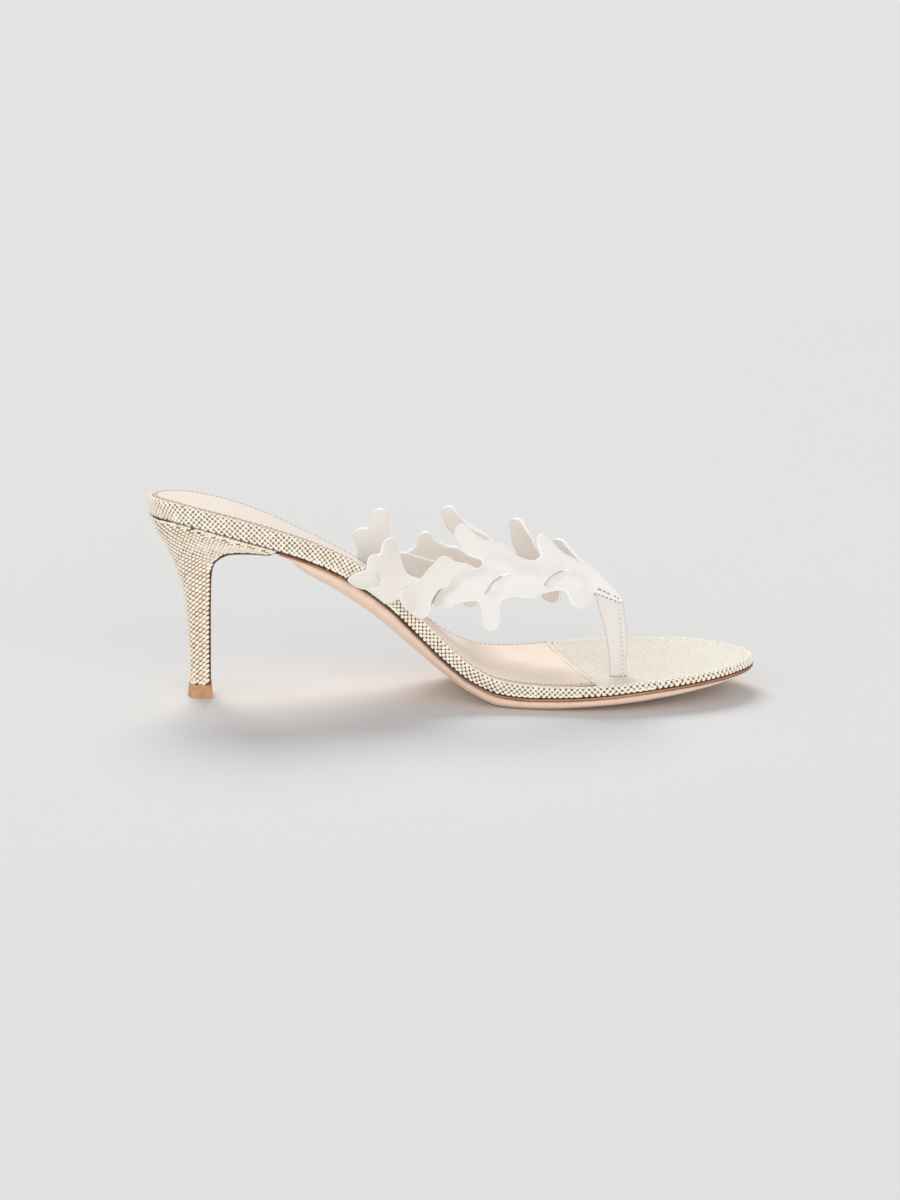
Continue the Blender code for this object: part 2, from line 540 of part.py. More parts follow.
def make_flap():
    line, normal = breast_line()
    keep = [0] + [i for i in range(1, len(line)) if i % 2 == 0]
    line, normal = line[keep], normal[keep]
    near = line[:, :2] + normal * GAP
    far = line[:, :2] + normal * (GAP + FLAP_THICK)
    half, follow = line[:, 2].copy(), line[:, 3].copy()
    # its upper end runs on into the thickness of the sole
    x_in = np.array([62.0, 56.0])
    mid = seam(x_in, 0 * x_in) - GAP - 0.75
    near = np.concatenate([np.stack([x_in, mid + 0.3], 1), near])
    far = np.concatenate([np.stack([x_in, mid - 0.3], 1), far])
    half = np.concatenate([[15.0, 18.0], half])
    follow = np.concatenate([[1.0, 1.0], follow])
    near[-1, 1] = far[-1, 1] = HEEL_FOOT + 0.15
    points, faces = [], []
    across = (-1.0, -0.5, 0.0, 0.5, 1.0)
    n = len(across)
    for a, b, h, f in zip(near, far, half, follow):
        for x, z in (a, b):
            points += [(x, h * t, z + f * float(sideways(x, h * t))) for t in across]
    step = 2 * n
    for i in range(len(near) - 1):
        p, q = i * step, (i + 1) * step
        for k in range(n - 1):
            faces.append((p + k, p + k + 1, q + k + 1, q + k))
            faces.append((p + n + k, q + n + k, q + n + k + 1, p + n + k + 1))
        faces.append((p, q, q + n, p + n))
        faces.append((p + n - 1, p + 2 * n - 1, q + 2 * n - 1, q + n - 1))
    e = (len(near) - 1) * step
    faces.append(tuple(range(n - 1, -1, -1)) + tuple(range(n, 2 * n)))
    faces.append(tuple(range(e, e + n)) + tuple(range(e + 2 * n - 1, e + n - 1, -1)))
    flap = mesh_object("breast_flap", points, faces)
    outward(flap)
    return flap


def outward(obj):
    """Turns the faces of a closed mesh to point out."""
    import bmesh
    bm = bmesh.new()
    bm.from_mesh(obj.data)
    bmesh.ops.recalc_face_normals(bm, faces=bm.faces)
    if bm.calc_volume(signed=True) < 0:
        bmesh.ops.reverse_faces(bm, faces=bm.faces)
    bm.to_mesh(obj.data)
    bm.free()


def make_heel():
    """Slim covered heel: a cup under the heel seat that narrows to a stem with a flat breast."""
    count, around, across = 25, 29, 6
    rings = []
    for k, s in enumerate(heel_slices(count)):
        angle = np.linspace(-math.pi / 2, math.pi / 2, around)
        power = s["full"]
        y = s["half"] * np.sign(np.sin(angle)) * np.abs(np.sin(angle)) ** power
        x = s["front"] - (s["front"] - s["back"]) * np.abs(np.cos(angle)) ** power
        fy = np.linspace(s["half"], -s["half"], across + 2)[1:-1]
        x = np.concatenate([x, np.full(across, s["front"])])
        y = np.concatenate([y, fy])
        if k == 0:
            half = np.where(y < 0, smooth(x, SECTIONS, "medial"), smooth(x, SECTIONS, "lateral")) - 0.5
            y = np.clip(y, -half, half)
            z = seam(x, y) - HEEL_GAP
        else:
            z = s["z"] + s["lean"] * (x - 25.0) + s["follow"] * sideways(x, y)
            z = np.minimum(z, seam(x, y) - HEEL_GAP - 0.25 * k)
        rings.append(np.column_stack([x, y, z]))
    size = around + across
    top_flat, top_faces = fill([rings[0][:, :2]], 9.0)
    inner = top_flat[size:]
    bottom_flat, bottom_faces = fill([rings[-1][:, :2]], 30.0)
    points = rings + [np.column_stack([inner, seam(inner[:, 0], inner[:, 1]) - HEEL_GAP])]
    last = (count - 1) * size
    faces = [tuple(i if i < size else i - size + count * size for i in f) for f in top_faces]
    faces += [tuple(last + i for i in f)[::-1] for f in bottom_faces]
    for k in range(count - 1):
        for i in range(size):
            j = (i + 1) % size
            faces.append((k * size + i, k * size + j, (k + 1) * size + j, (k + 1) * size + i))
    heel = mesh_object("heel", np.concatenate(points), faces, 50.0)
    outward(heel)
    return heel


def make_top_piece():
    """The lift under the heel, flared a little towards the floor."""
    rings = []
    for z, grow in ((LIFT_HEIGHT, 0.0), (LIFT_HEIGHT - 0.3, 0.15), (0.4, 0.5), (0.0, 0.3)):
        angle = np.linspace(-math.pi / 2, math.pi / 2, 25)
        half = 4.9 + grow
        back, front = 16.9 - grow, 25.2 + 0.5 * grow
        y = half * np.sign(np.sin(angle)) * np.abs(np.sin(angle)) ** 0.8
        x = front - (front - back) * np.abs(np.cos(angle)) ** 0.8
        rings.append(np.column_stack([x, y, np.full(25, z)]))
    size = 25
    faces = [tuple(range(size)), tuple(range(4 * size - 1, 3 * size - 1, -1))]
    for k in range(3):
        for i in range(size):
            j = (i + 1) % size
            faces.append((k * size + i, k * size + j, (k + 1) * size + j, (k + 1) * size + i))
    piece = mesh_object("top_piece", np.concatenate(rings), faces, 45.0)
    outward(piece)
    return piece


# ---------------------------------------------------------------- the linked straps
def branch_field(rows, x, z):
    """How far (x, z) is outside the smooth union of a link's branches; negative inside."""
    total = 0.0
    for x0, z0, r0, x1, z1, r1 in rows:
        dx, dz = x1 - x0, z1 - z0
        t = np.clip(((x - x0) * dx + (z - z0) * dz) / (dx * dx + dz * dz), 0, 1)
        away = np.hypot(x - x0 - t * dx, z - z0 - t * dz) - (r0 + (r1 - r0) * t)
        total = total + np.exp(-away / STRAP_BLEND)
    return -STRAP_BLEND * np.log(total)


def outline_of(rows, side=0, cell=0.7, spacing=1.9):
    """The zero line of the branch field, as loops of evenly spaced points (marching squares).

    With a side given, the link ends just above the seam of the sole on that side."""
    rows = np.array(rows)
    low = np.minimum(rows[:, 0] - rows[:, 2], rows[:, 3] - rows[:, 5]).min() - 4, np.minimum(rows[:, 1] - rows[:, 2], rows[:, 4] - rows[:, 5]).min() - 4
    high = np.maximum(rows[:, 0] + rows[:, 2], rows[:, 3] + rows[:, 5]).max() + 4, np.maximum(rows[:, 1] + rows[:, 2], rows[:, 4] + rows[:, 5]).max() + 4
    xs, zs = np.arange(low[0], high[0], cell), np.arange(low[1], high[1], cell)
    gx, gz = np.meshgrid(xs, zs, indexing="ij")
    f = branch_field(rows, gx, gz)
    if side:
        half = smooth(gx, SECTIONS, "medial" if side < 0 else "lateral")
        f = np.maximum(f, seam(gx, side * half) + GAP - gz)
    cut, link = {}, {}

    def crossing(i, j, axis):
        key = (i, j, axis)
        if key not in cut:
            a, b = f[i, j], (f[i + 1, j] if axis == 0 else f[i, j + 1])
            t = a / (a - b)
            cut[key] = (xs[i] + (t * cell if axis == 0 else 0), zs[j] + (t * cell if axis == 1 else 0))
        return key

    for i in range(len(xs) - 1):
        for j in range(len(zs) - 1):
            corners = (f[i, j] < 0, f[i + 1, j] < 0, f[i + 1, j + 1] < 0, f[i, j + 1] < 0)
            if all(corners) or not any(corners):
                continue
            sides = []
            if corners[0] != corners[1]:
                sides.append((crossing(i, j, 0), corners[0]))
            if corners[1] != corners[2]:
                sides.append((crossing(i + 1, j, 1), corners[1]))
            if corners[2] != corners[3]:
                sides.append((crossing(i, j + 1, 0), corners[2]))
            if corners[3] != corners[0]:
                sides.append((crossing(i, j, 1), corners[3]))
            starts = [k for k, was_in in sides if was_in]
            ends = [k for k, was_in in sides if not was_in]
            if len(starts) == 2:
                order = [k for k, _ in sides]
                for s in starts:
                    link[s] = order[(order.index(s) + 1) % 4]
            else:
                link[starts[0]] = ends[0]
    loops = []
    while link:
        start = next(iter(link))
        key, loop = start, []
        while key in link:
            loop.append(cut[key])
            key = link.pop(key)
        loop = np.array(loop)
        closed = np.vstack([loop, loop[:1]])
        run = np.concatenate([[0], np.cumsum(np.linalg.norm(np.diff(closed, axis=0), axis=1))])
        if run[-1] < 6:
            continue
        at = np.linspace(0, run[-1], max(6, int(run[-1] / spacing)), endpoint=False)
        loops.append(np.stack([np.interp(at, run, closed[:, k]) for k in (0, 1)], 1))
    loops.sort(key=lambda l: -np.ptp(l[:, 0]))
    return loops


def arm_point(arm, x, z):
    return smooth(x, arm, "y") + smooth(x, arm, "lean") * (z - smooth(x, arm, "z"))


def arm_frame(arm, side, x, z):
    """Points of the arm's surface and the normals on its outer face (side is -1 inner arm, +1 outer arm)."""
    e = 0.05
    y = arm_point(arm, x, z)
    gx = (arm_point(arm, x + e, z) - arm_point(arm, x - e, z)) / (2 * e)
    gz = (arm_point(arm, x, z + e) - arm_point(arm, x, z - e)) / (2 * e)
    normal = side * np.stack([-gx, np.ones_like(gx), -gz], -1)
    normal /= np.linalg.norm(normal, axis=-1)[..., None]
    return np.stack([x, y, z], -1), normal


def slit_distance(slit, x, z):
    (x0, z0, x1, z1, x2, z2) = slit
    best = np.full(np.shape(x), 1e9)
    for a, b, c, d in ((x0, z0, x1, z1), (x1, z1, x2, z2)):
        dx, dz = c - a, d - b
        t = np.clip(((x - a) * dx + (z - b) * dz) / (dx * dx + dz * dz), 0, 1)
        best = np.minimum(best, np.hypot(x - a - t * dx, z - b - t * dz))
    return best


def beside_slit(slit, offsets, step=2.2):
    """Points in lines beside the slit, on the side where the tongue comes out."""
    found = []
    if slit is None:
        return found
    path = np.array(slit).reshape(3, 2)
    for a, b in zip(path, path[1:]):
        along = (b - a) / np.linalg.norm(b - a)
        out = np.array((along[1], -along[0]))
        for t in np.arange(step / 2, np.linalg.norm(b - a) + step / 2, step):
            found += [a + along * t + out * off for off in offsets]
    return found


def lift_of(rows, slit, x, z):
    """How far the link stands off the arm's surface: its tongue rides over the link behind and dips at the slit."""
    rows = np.array(rows)
    rear, front = rows[:, 0].min() - 2.0, rows[:, 3].max()
    along = np.clip((x - rear) / (front - rear), 0, 1)
    lift = 0.85 - 1.5 * along
    if slit is not None:
        near = np.clip(1.25 - slit_distance(slit, x, z) / 3.2, 0, 1)
        lift = lift - 1.7 * near * near * (3 - 2 * near)
    return lift


def link_plate(name, arm, side, rows, slit):
    loops = outline_of(rows, 0 if slit else side)
    flat, triangles = fill(loops, 4.2, extra=beside_slit(slit, (1.6, 3.4)))
    x, z = flat[:, 0], flat[:, 1]
    middle, normal = arm_frame(arm, side, x, z)
    lift = lift_of(rows, slit, x, z)[:, None]
    outer = middle + normal * (lift + STRAP_THICK / 2)
    inner = middle + normal * (lift - STRAP_THICK / 2)
    n = len(flat)
    faces = [tuple(t) for t in triangles] + [tuple(n + i for i in t[::-1]) for t in triangles]
    start = 0
    for loop in loops:
        for i in range(len(loop)):
            a, b = start + i, start + (i + 1) % len(loop)
            faces.append((a, b, n + b, n + a))
        start += len(loop)
    plate = mesh_object(name, np.concatenate([outer, inner]), faces, 35.0)
    outward(plate)
    return plate


def make_post():
    """Folded strip between the toes, tapering down into the footbed's slot."""
    rings, sides = [], 12
    for k in range(len(POST["z"])):
        back, front, y, thick = (POST[c][k] for c in ("back", "front", "y", "thick"))
        centre, half = (back + front) / 2, (front - back) / 2
        ring = []
        for i in range(sides):
            angle = 2 * math.pi * i / sides
            c, s = math.cos(angle), math.sin(angle)
            px = centre + half * math.copysign(abs(c) ** 0.45, c)
            py = y + thick / 2 * math.copysign(abs(s) ** 0.8, s)
            drop = POST_TOP_DROP * (px - back) / (front - back) if k == len(POST["z"]) - 1 else 0.0
            ring.append((px, py, POST["z"][k] + 2.4 * (k == len(POST["z"]) - 1) - drop))
        rings.append(ring)
    faces = [tuple(range(sides)), tuple(range((len(rings) - 1) * sides, len(rings) * sides))]
    for k in range(len(rings) - 1):
        for i in range(sides):
            j = (i + 1) % sides
            faces.append((k * sides + i, k * sides + j, (k + 1) * sides + j, (k + 1) * sides + i))
    post = mesh_object("toe_post", [p for ring in rings for p in ring], faces, 45.0)
    outward(post)
    return post


def make_upper():
    """Both arms' links and the toe post, joined into one solid."""
    base = make_post()
    for label, arm, side, branches, slits in (
        ("inner", INNER_ARM, -1, INNER_BRANCHES, INNER_SLITS),
        ("outer", OUTER_ARM, 1, OUTER_BRANCHES, OUTER_SLITS),
    ):
        for link in range(1, 6):
            pick = branches["link"] == link
            rows = [tuple(branches[c][i] for c in ("x0", "z0", "r0", "x1", "z1", "r1")) for i in np.flatnonzero(pick)]
            found = np.flatnonzero(slits["link"] == link)
            slit = tuple(slits[c][found[0]] for c in ("x0", "z0", "x1", "z1", "x2", "z2")) if len(found) else None
            unite(base, link_plate(f"{label}_link_{link}", arm, side, rows, slit))
    base.name = "upper"
    base.data.name = "upper"
    return base


# ---------------------------------------------------------------- assembly
def main():
    for obj in list(bpy.data.objects):
        bpy.data.objects.remove(obj, do_unlink=True)
    pieces = [make_footbed(), make_insole(), make_outsole(), make_heel(), make_top_piece(), make_upper()]
    for piece in pieces:
        finish(piece, piece.name)
    bpy.context.view_layer.update()
    graph = bpy.context.evaluated_depsgraph_get()
    low, high = np.full(3, 1e9), np.full(3, -1e9)
    for piece in pieces:
        mesh = piece.evaluated_get(graph).to_mesh()
        co = np.empty(len(mesh.vertices) * 3, np.float32)
        mesh.vertices.foreach_get("co", co)
        low, high = np.minimum(low, co.reshape(-1, 3).min(0)), np.maximum(high, co.reshape(-1, 3).max(0))
    shift = (-(low[0] + high[0]) / 2, -(low[1] + high[1]) / 2, -low[2])
    for obj in bpy.data.objects:
        if obj.type == "MESH":
            obj.location = shift


main()
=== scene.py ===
"""Looks of the heeled thong sandal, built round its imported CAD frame.

Numbers are in millimetres in the shoe's working frame (x from the heel's back to the
toe, y negative on the inner side, z up from the floor); put() turns them into metres
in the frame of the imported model.
"""

import math

import bpy
import numpy as np
from mathutils import Matrix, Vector
from mathutils.geometry import delaunay_2d_cdt


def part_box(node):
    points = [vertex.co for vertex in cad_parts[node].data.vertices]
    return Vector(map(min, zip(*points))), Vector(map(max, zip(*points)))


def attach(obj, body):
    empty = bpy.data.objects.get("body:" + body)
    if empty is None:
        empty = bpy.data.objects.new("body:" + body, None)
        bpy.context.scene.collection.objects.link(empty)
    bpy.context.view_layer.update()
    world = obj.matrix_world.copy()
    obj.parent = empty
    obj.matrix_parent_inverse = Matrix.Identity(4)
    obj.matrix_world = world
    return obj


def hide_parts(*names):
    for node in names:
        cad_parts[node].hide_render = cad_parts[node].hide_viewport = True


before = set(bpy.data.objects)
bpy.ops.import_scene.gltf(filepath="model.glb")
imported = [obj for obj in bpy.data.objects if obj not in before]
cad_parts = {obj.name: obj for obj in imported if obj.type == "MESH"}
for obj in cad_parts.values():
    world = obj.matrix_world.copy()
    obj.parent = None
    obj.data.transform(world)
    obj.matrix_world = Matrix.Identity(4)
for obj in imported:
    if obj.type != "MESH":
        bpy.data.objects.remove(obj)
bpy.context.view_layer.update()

bpy.context.scene.view_settings.view_transform = "Standard"
bpy.context.scene.view_settings.look = "None"

# ---------------------------------------------------------------- sizes (mm)
LENGTH = 230.0
GAP = 0.30
HEEL_GAP = 0.45
EDGE = 1.1              # visible thickness of the outsole's edge
FLAP_THICK = 0.74
FLAP_NEAR = 0.03
HEEL_TUCK = 1.2
SOCK_SEAT = 0.6
SOCK_THICK = 0.8
SOCK_INSET = 2.2
SOCK_FRONT = 160.5
SOCK_SKEW = 0.13
DISH = 1.0
BELLY_ROUND = 10.0
LIFT_HEIGHT = 4.9
HEEL_FOOT = 5.2
SOLE_START = 49.2
HEEL_ANCHOR = 22.0
TOE_ANCHOR = 196.0
STRAP_THICK = 1.7
STRAP_BLEND = 1.3
WEAVE_ROW = 0.985        # rows of the bias-cut canvas round the footbed, and twice that along a row
COVER_ROW = 1.27        # lines of the straight-grain canvas on top of the toe
HEEL_LINE, HEEL_STEP, HEEL_SHEAR = 1.34, 1.85, -0.28   # heel canvas: line to line, along a line, and each line's shift
HEEL_PLUMB = 25.0       # upright line that the heel's canvas is measured from
STITCH = 1.85           # stitch pitch on the sock


def table(names, rows):
    """Columns by name from rows of numbers."""
    data = np.array(rows, float)
    return {name: data[:, i] for i, name in enumerate(names.split())}

# One row for each cross section, heel to toe.
#   medial, lateral  half widths of the footbed's outline
#   top              height of the footbed's edge line
#   cant             inner edge raised, outer edge lowered, by this much
#   board            depth of the covered footbed, measured upright
#   belly            how far the underside bulges below the outsole's edge
SECTIONS = table("x medial lateral top cant board belly", [
    (0.0, 0.0, 0.0, 76.4, 0.8, 7.0, 0.2),
    (10.0, 17.2, 17.2, 75.6, 0.8, 7.0, 0.2),
    (20.0, 20.9, 21.0, 73.7, 0.6, 7.1, 0.2),
    (30.0, 22.8, 22.9, 71.2, 0.7, 7.2, 0.2),
    (40.0, 23.5, 23.7, 68.1, 1.0, 7.2, 0.2),
    (50.0, 23.3, 23.8, 64.5, 1.5, 7.2, 0.4),
    (60.0, 22.4, 23.9, 60.3, 2.2, 7.3, 4.4),
    (70.0, 21.2, 24.0, 55.6, 2.6, 7.6, 5.3),
    (80.0, 20.1, 24.3, 50.0, 2.8, 8.0, 6.1),
    (90.0, 19.5, 25.0, 42.3, 2.7, 7.9, 6.4),
    (100.0, 20.1, 26.2, 32.3, 2.3, 7.4, 5.5),
    (110.0, 22.2, 27.8, 22.8, 1.4, 6.7, 4.6),
    (120.0, 25.4, 30.2, 15.2, 0.5, 5.8, 4.2),
    (130.0, 28.6, 32.8, 11.1, 0.1, 5.2, 4.6),
    (140.0, 31.2, 34.9, 10.0, 0.0, 4.8, 4.2),
    (150.0, 33.5, 37.2, 9.7, 0.0, 4.2, 4.2),
    (160.0, 35.2, 39.1, 10.0, 0.0, 3.9, 4.0),
    (170.0, 35.7, 40.2, 10.6, 0.0, 3.7, 4.0),
    (180.0, 34.4, 39.7, 11.1, 0.0, 3.4, 4.1),
    (190.0, 31.9, 38.2, 11.5, 0.0, 3.1, 3.9),
    (200.0, 28.5, 35.8, 12.0, 0.0, 3.0, 3.4),
    (210.0, 23.7, 32.0, 12.6, 0.0, 3.0, 2.7),
    (220.0, 16.0, 24.0, 13.1, 0.0, 3.0, 1.9),
    (230.0, 0.0, 0.0, 13.4, 0.0, 3.0, 0.9),
])

# The outline where it rounds off at the back and at the toe: a row for each point
# that the curve passes through, from the inner side round the end to the outer side.
HEEL_ROUND = table("x y", [
    (32.0, -23.0), (22.0, -21.4), (12.7, -18.1), (6.3, -12.8), (2.8, -6.8), (1.6, 0.0),
    (2.8, 6.8), (6.3, 12.8), (12.7, 18.1), (22.0, 21.5), (32.0, 23.1),
])
TOE_ROUND = table("x y", [
    (187.0, -32.7), (196.0, -30.0), (205.0, -26.4), (213.0, -21.9), (220.0, -16.0), (226.0, -8.8),
    (229.4, -1.6), (230.0, 4.5), (228.3, 11.5), (224.0, 18.9), (217.5, 26.3), (208.0, 33.0),
    (196.0, 37.0), (187.0, 38.8),
])

# Side profile of the covered heel: a row for each slice, top to bottom.
#   z      height of the slice at x = 25        lean   slope of the slice's plane
#   back   front   where the slice starts and ends along x
#   half   half width across the breast         full   how square its back corners are
HEEL = table("z lean back front half full", [
    (65.0, -0.310, 3.0, 48.6, 22.9, 0.62),
    (62.6, -0.267, 3.2, 46.0, 21.0, 0.66),
    (59.6, -0.150, 5.4, 37.6, 17.4, 0.72),
    (57.4, -0.090, 7.6, 30.6, 14.7, 0.76),
    (54.7, -0.040, 9.3, 27.3, 12.1, 0.80),
    (51.6, -0.015, 10.8, 25.4, 10.0, 0.83),
    (47.5, 0.0, 12.5, 24.5, 8.4, 0.84),
    (38.0, 0.0, 15.1, 24.2, 6.4, 0.82),
    (28.0, 0.0, 16.2, 24.15, 5.6, 0.80),
    (16.0, 0.0, 16.9, 24.12, 5.1, 0.80),
    (5.2, 0.0, 17.1, 24.12, 4.9, 0.80),
])

# The surface that each arm of the strap lies in: y at height z, leaning over the foot.
INNER_ARM = table("x y z lean", [
    (72.0, -22.8, 45.0, 0.10), (82.0, -22.5, 43.0, 0.14), (92.0, -22.3, 40.0, 0.22),
    (102.0, -24.0, 37.0, 0.30), (114.0, -26.6, 36.0, 0.36), (126.0, -27.6, 36.0, 0.38),
    (138.0, -26.6, 37.0, 0.40), (150.0, -23.4, 38.0, 0.38), (160.0, -20.0, 39.0, 0.30),
    (168.0, -17.6, 39.0, 0.20), (180.0, -16.4, 38.0, 0.10),
])
OUTER_ARM = table("x y z lean", [
    (72.0, 25.8, 50.0, -0.12), (82.0, 26.2, 50.0, -0.18), (92.0, 27.0, 52.0, -0.30),
    (104.0, 27.4, 54.0, -0.42), (116.0, 25.6, 55.0, -0.50), (128.0, 22.0, 55.0, -0.52),
    (140.0, 15.6, 54.0, -0.50), (150.0, 7.4, 51.0, -0.46), (160.0, -4.0, 47.0, -0.36),
    (168.0, -12.4, 42.0, -0.22), (176.0, -15.3, 39.0, -0.10), (184.0, -15.8, 38.0, -0.10),
])

# Branches of the strap's links, seen from the side. A row for each branch: which link,
# its root (x0, z0) with radius r0 and its tip (x1, z1) with radius r1.
INNER_BRANCHES = table("link x0 z0 r0 x1 z1 r1", [
    (1, 77.1, 47.3, 1.3, 84.1, 47.9, 1.9), (1, 84.1, 47.1, 3.5, 92.2, 45.1, 3.9),
    (1, 83.0, 44.6, 3.0, 87.7, 42.7, 3.3), (1, 84.5, 50.0, 3.3, 83.7, 54.7, 2.4),
    (1, 90.4, 51.4, 4.4, 89.7, 59.8, 3.0), (1, 92.8, 46.5, 3.0, 98.8, 46.2, 2.2),
    (2, 97.6, 41.1, 3.5, 107.1, 45.9, 4.8), (2, 109.0, 49.1, 3.4, 109.8, 53.4, 2.5),
    (2, 109.7, 50.1, 3.2, 116.6, 50.6, 2.9), (2, 107.9, 46.9, 4.5, 121.0, 48.5, 3.2),
    (2, 97.6, 41.5, 3.3, 100.8, 37.3, 3.2), (2, 107.8, 44.2, 4.5, 112.2, 45.0, 3.7),
    (3, 107.7, 42.2, 3.1, 109.4, 42.2, 3.5), (3, 109.4, 42.2, 3.5, 118.7, 46.2, 4.5), (3, 118.7, 46.2, 4.5, 128.3, 47.8, 4.5),
    (3, 116.6, 64.1, 3.1, 119.8, 59.9, 2.7), (3, 119.8, 59.9, 2.7, 129.3, 57.1, 3.4),
    (3, 129.9, 52.9, 5.0, 131.0, 51.9, 5.4), (3, 131.0, 51.9, 5.4, 141.0, 48.1, 5.2),
    (3, 125.9, 41.9, 3.3, 126.0, 33.7, 3.3), (4, 127.8, 44.7, 3.0, 140.9, 47.3, 4.7),
    (4, 140.9, 47.3, 4.6, 147.0, 49.0, 4.3), (4, 147.0, 49.0, 4.3, 154.7, 49.6, 3.9), (4, 146.5, 60.8, 2.5, 149.4, 56.0, 2.4),
    (4, 149.4, 56.0, 2.4, 153.8, 51.0, 3.4), (4, 154.7, 49.6, 3.9, 161.4, 47.8, 3.2),
    (5, 149.6, 46.9, 2.7, 156.5, 47.5, 2.7), (5, 156.5, 47.5, 2.8, 163.5, 47.9, 2.4),
    (5, 163.5, 47.9, 2.4, 166.8, 45.1, 2.0), (5, 166.8, 45.1, 2.0, 171.3, 41.9, 1.2),
    (5, 171.3, 41.9, 1.2, 175.6, 38.7, 0.8), (5, 158.6, 44.4, 3.1, 158.8, 40.7, 3.1),
    (5, 161.0, 43.6, 2.8, 161.4, 39.4, 2.7),
])
OUTER_BRANCHES = table("link x0 z0 r0 x1 z1 r1", [
    (1, 79.4, 40.1, 3.5, 88.5, 44.6, 5.1), (1, 88.4, 47.9, 4.7, 89.6, 62.5, 3.2),
    (1, 87.0, 45.5, 3.5, 82.5, 54.6, 2.9), (1, 89.3, 44.5, 4.7, 99.5, 43.4, 3.1),
    (1, 99.5, 43.4, 3.1, 105.1, 41.8, 2.7), (1, 105.1, 41.8, 2.7, 110.5, 41.8, 2.4),
    (2, 107.2, 53.2, 2.5, 108.3, 48.4, 3.4), (2, 102.2, 46.3, 1.3, 109.4, 47.3, 3.6),
    (2, 109.4, 47.3, 3.7, 118.4, 45.8, 3.0), (2, 118.4, 45.8, 3.0, 126.8, 42.4, 2.7),
    (2, 126.8, 42.4, 2.7, 130.0, 41.8, 2.3),
    (2, 103.1, 41.2, 3.7, 108.0, 37.5, 3.9), (3, 115.3, 64.0, 2.7, 118.0, 59.4, 2.7),
    (3, 118.0, 59.4, 2.7, 127.0, 52.6, 3.3), (3, 127.0, 52.6, 3.3, 135.7, 46.6, 3.5),
    (3, 124.0, 42.0, 2.6, 131.5, 46.0, 3.7), (3, 124.9, 39.8, 3.3, 125.8, 26.7, 2.8),
    (3, 135.7, 46.6, 3.5, 140.4, 45.6, 3.1), (4, 139.9, 61.1, 2.6, 142.5, 55.1, 2.9),
    (4, 142.5, 55.1, 2.9, 146.6, 48.7, 3.3), (4, 135.6, 43.6, 3.1, 145.9, 45.5, 3.9),
    (4, 145.9, 45.5, 3.9, 156.3, 44.7, 3.6), (4, 141.6, 43.7, 3.1, 142.0, 37.7, 2.9),
    (5, 154.3, 55.8, 2.4, 156.8, 52.0, 2.4), (5, 156.8, 52.0, 2.4, 161.9, 46.4, 3.0),
    (5, 149.8, 42.2, 2.9, 158.8, 45.5, 3.8), (5, 161.9, 46.4, 3.0, 168.6, 42.3, 2.1),
    (5, 168.6, 42.3, 2.1, 174.7, 38.2, 1.2), (5, 152.9, 38.4, 3.1, 153.1, 34.2, 3.0),
])

# Where each link comes out through the slit of the one behind it: a row for each
# link, three points of the slit from its low end to its high end.
INNER_SLITS = table("link x0 z0 x1 z1 x2 z2", [
    (2, 94.0, 43.6, 97.7, 45.2, 101.0, 48.2), (3, 105.2, 39.6, 109.3, 45.1, 118.8, 50.9),
    (4, 124.8, 43.7, 127.9, 47.8, 137.3, 51.0), (5, 146.6, 45.4, 149.0, 48.3, 153.2, 50.0),
])
OUTER_SLITS = table("link x0 z0 x1 z1 x2 z2", [
    (2, 101.6, 40.4, 102.9, 45.5, 106.2, 48.8), (3, 119.7, 38.6, 121.5, 45.7, 128.6, 49.7),
    (4, 133.5, 42.4, 135.7, 47.1, 142.1, 49.9), (5, 148.1, 41.8, 150.2, 45.7, 155.4, 49.8),
])

# The folded toe post: a row for each level, with its back and front edge along x.
POST = table("z back front y thick", [
    (8.4, 172.3, 178.0, -18.6, 2.7),
    (16.0, 171.7, 178.1, -18.3, 2.8),
    (25.0, 170.4, 178.2, -17.7, 2.9),
    (33.0, 168.5, 177.9, -16.9, 3.0),
    (38.0, 167.1, 177.3, -16.4, 2.9),
    (42.0, 166.1, 176.8, -16.2, 2.6),
])
POST_TOP_DROP = 4.4     # the post's top is cut on a slope, lower at its front

# ---------------------------------------------------------------- curves
def smooth(x, columns, name):
    """Value of a table's column at x, by a shape-preserving cubic through its rows."""
    xs, ys = columns["x"], columns[name]
    x = np.clip(np.asarray(x, float), xs[0], xs[-1])
    h = np.diff(xs)
    d = np.diff(ys) / h
    m = np.zeros(len(xs))
    for i in range(1, len(xs) - 1):
        if d[i - 1] * d[i] > 0:
            w0, w1 = 2 * h[i] + h[i - 1], h[i] + 2 * h[i - 1]
            m[i] = (w0 + w1) / (w0 / d[i - 1] + w1 / d[i])
    m[0], m[-1] = d[0], d[-1]
    i = np.clip(np.searchsorted(xs, x, side="right") - 1, 0, len(xs) - 2)
    t = (x - xs[i]) / h[i]
    return (ys[i] * (1 + 2 * t) * (1 - t) ** 2 + m[i] * h[i] * t * (1 - t) ** 2
            + ys[i + 1] * t * t * (3 - 2 * t) + m[i + 1] * h[i] * t * t * (t - 1))


def through(points, count):
    """count points at even steps along a Catmull-Rom curve, leaving out its first and last span."""
    p = np.asarray(points, float)
    dense = []
    for i in range(1, len(p) - 2):
        for t in np.linspace(0, 1, 24, endpoint=False):
            a, b, c, d = p[i - 1], p[i], p[i + 1], p[i + 2]
            dense.append(0.5 * (2 * b + (c - a) * t + (2 * a - 5 * b + 4 * c - d) * t * t
                                + (3 * b - a - 3 * c + d) * t ** 3))
    dense.append(p[-2])
    dense = np.array(dense)
    run = np.concatenate([[0], np.cumsum(np.linalg.norm(np.diff(dense, axis=0), axis=1))])
    at = np.linspace(0, run[-1], count)
    return np.stack([np.interp(at, run, dense[:, k]) for k in (0, 1)], 1)


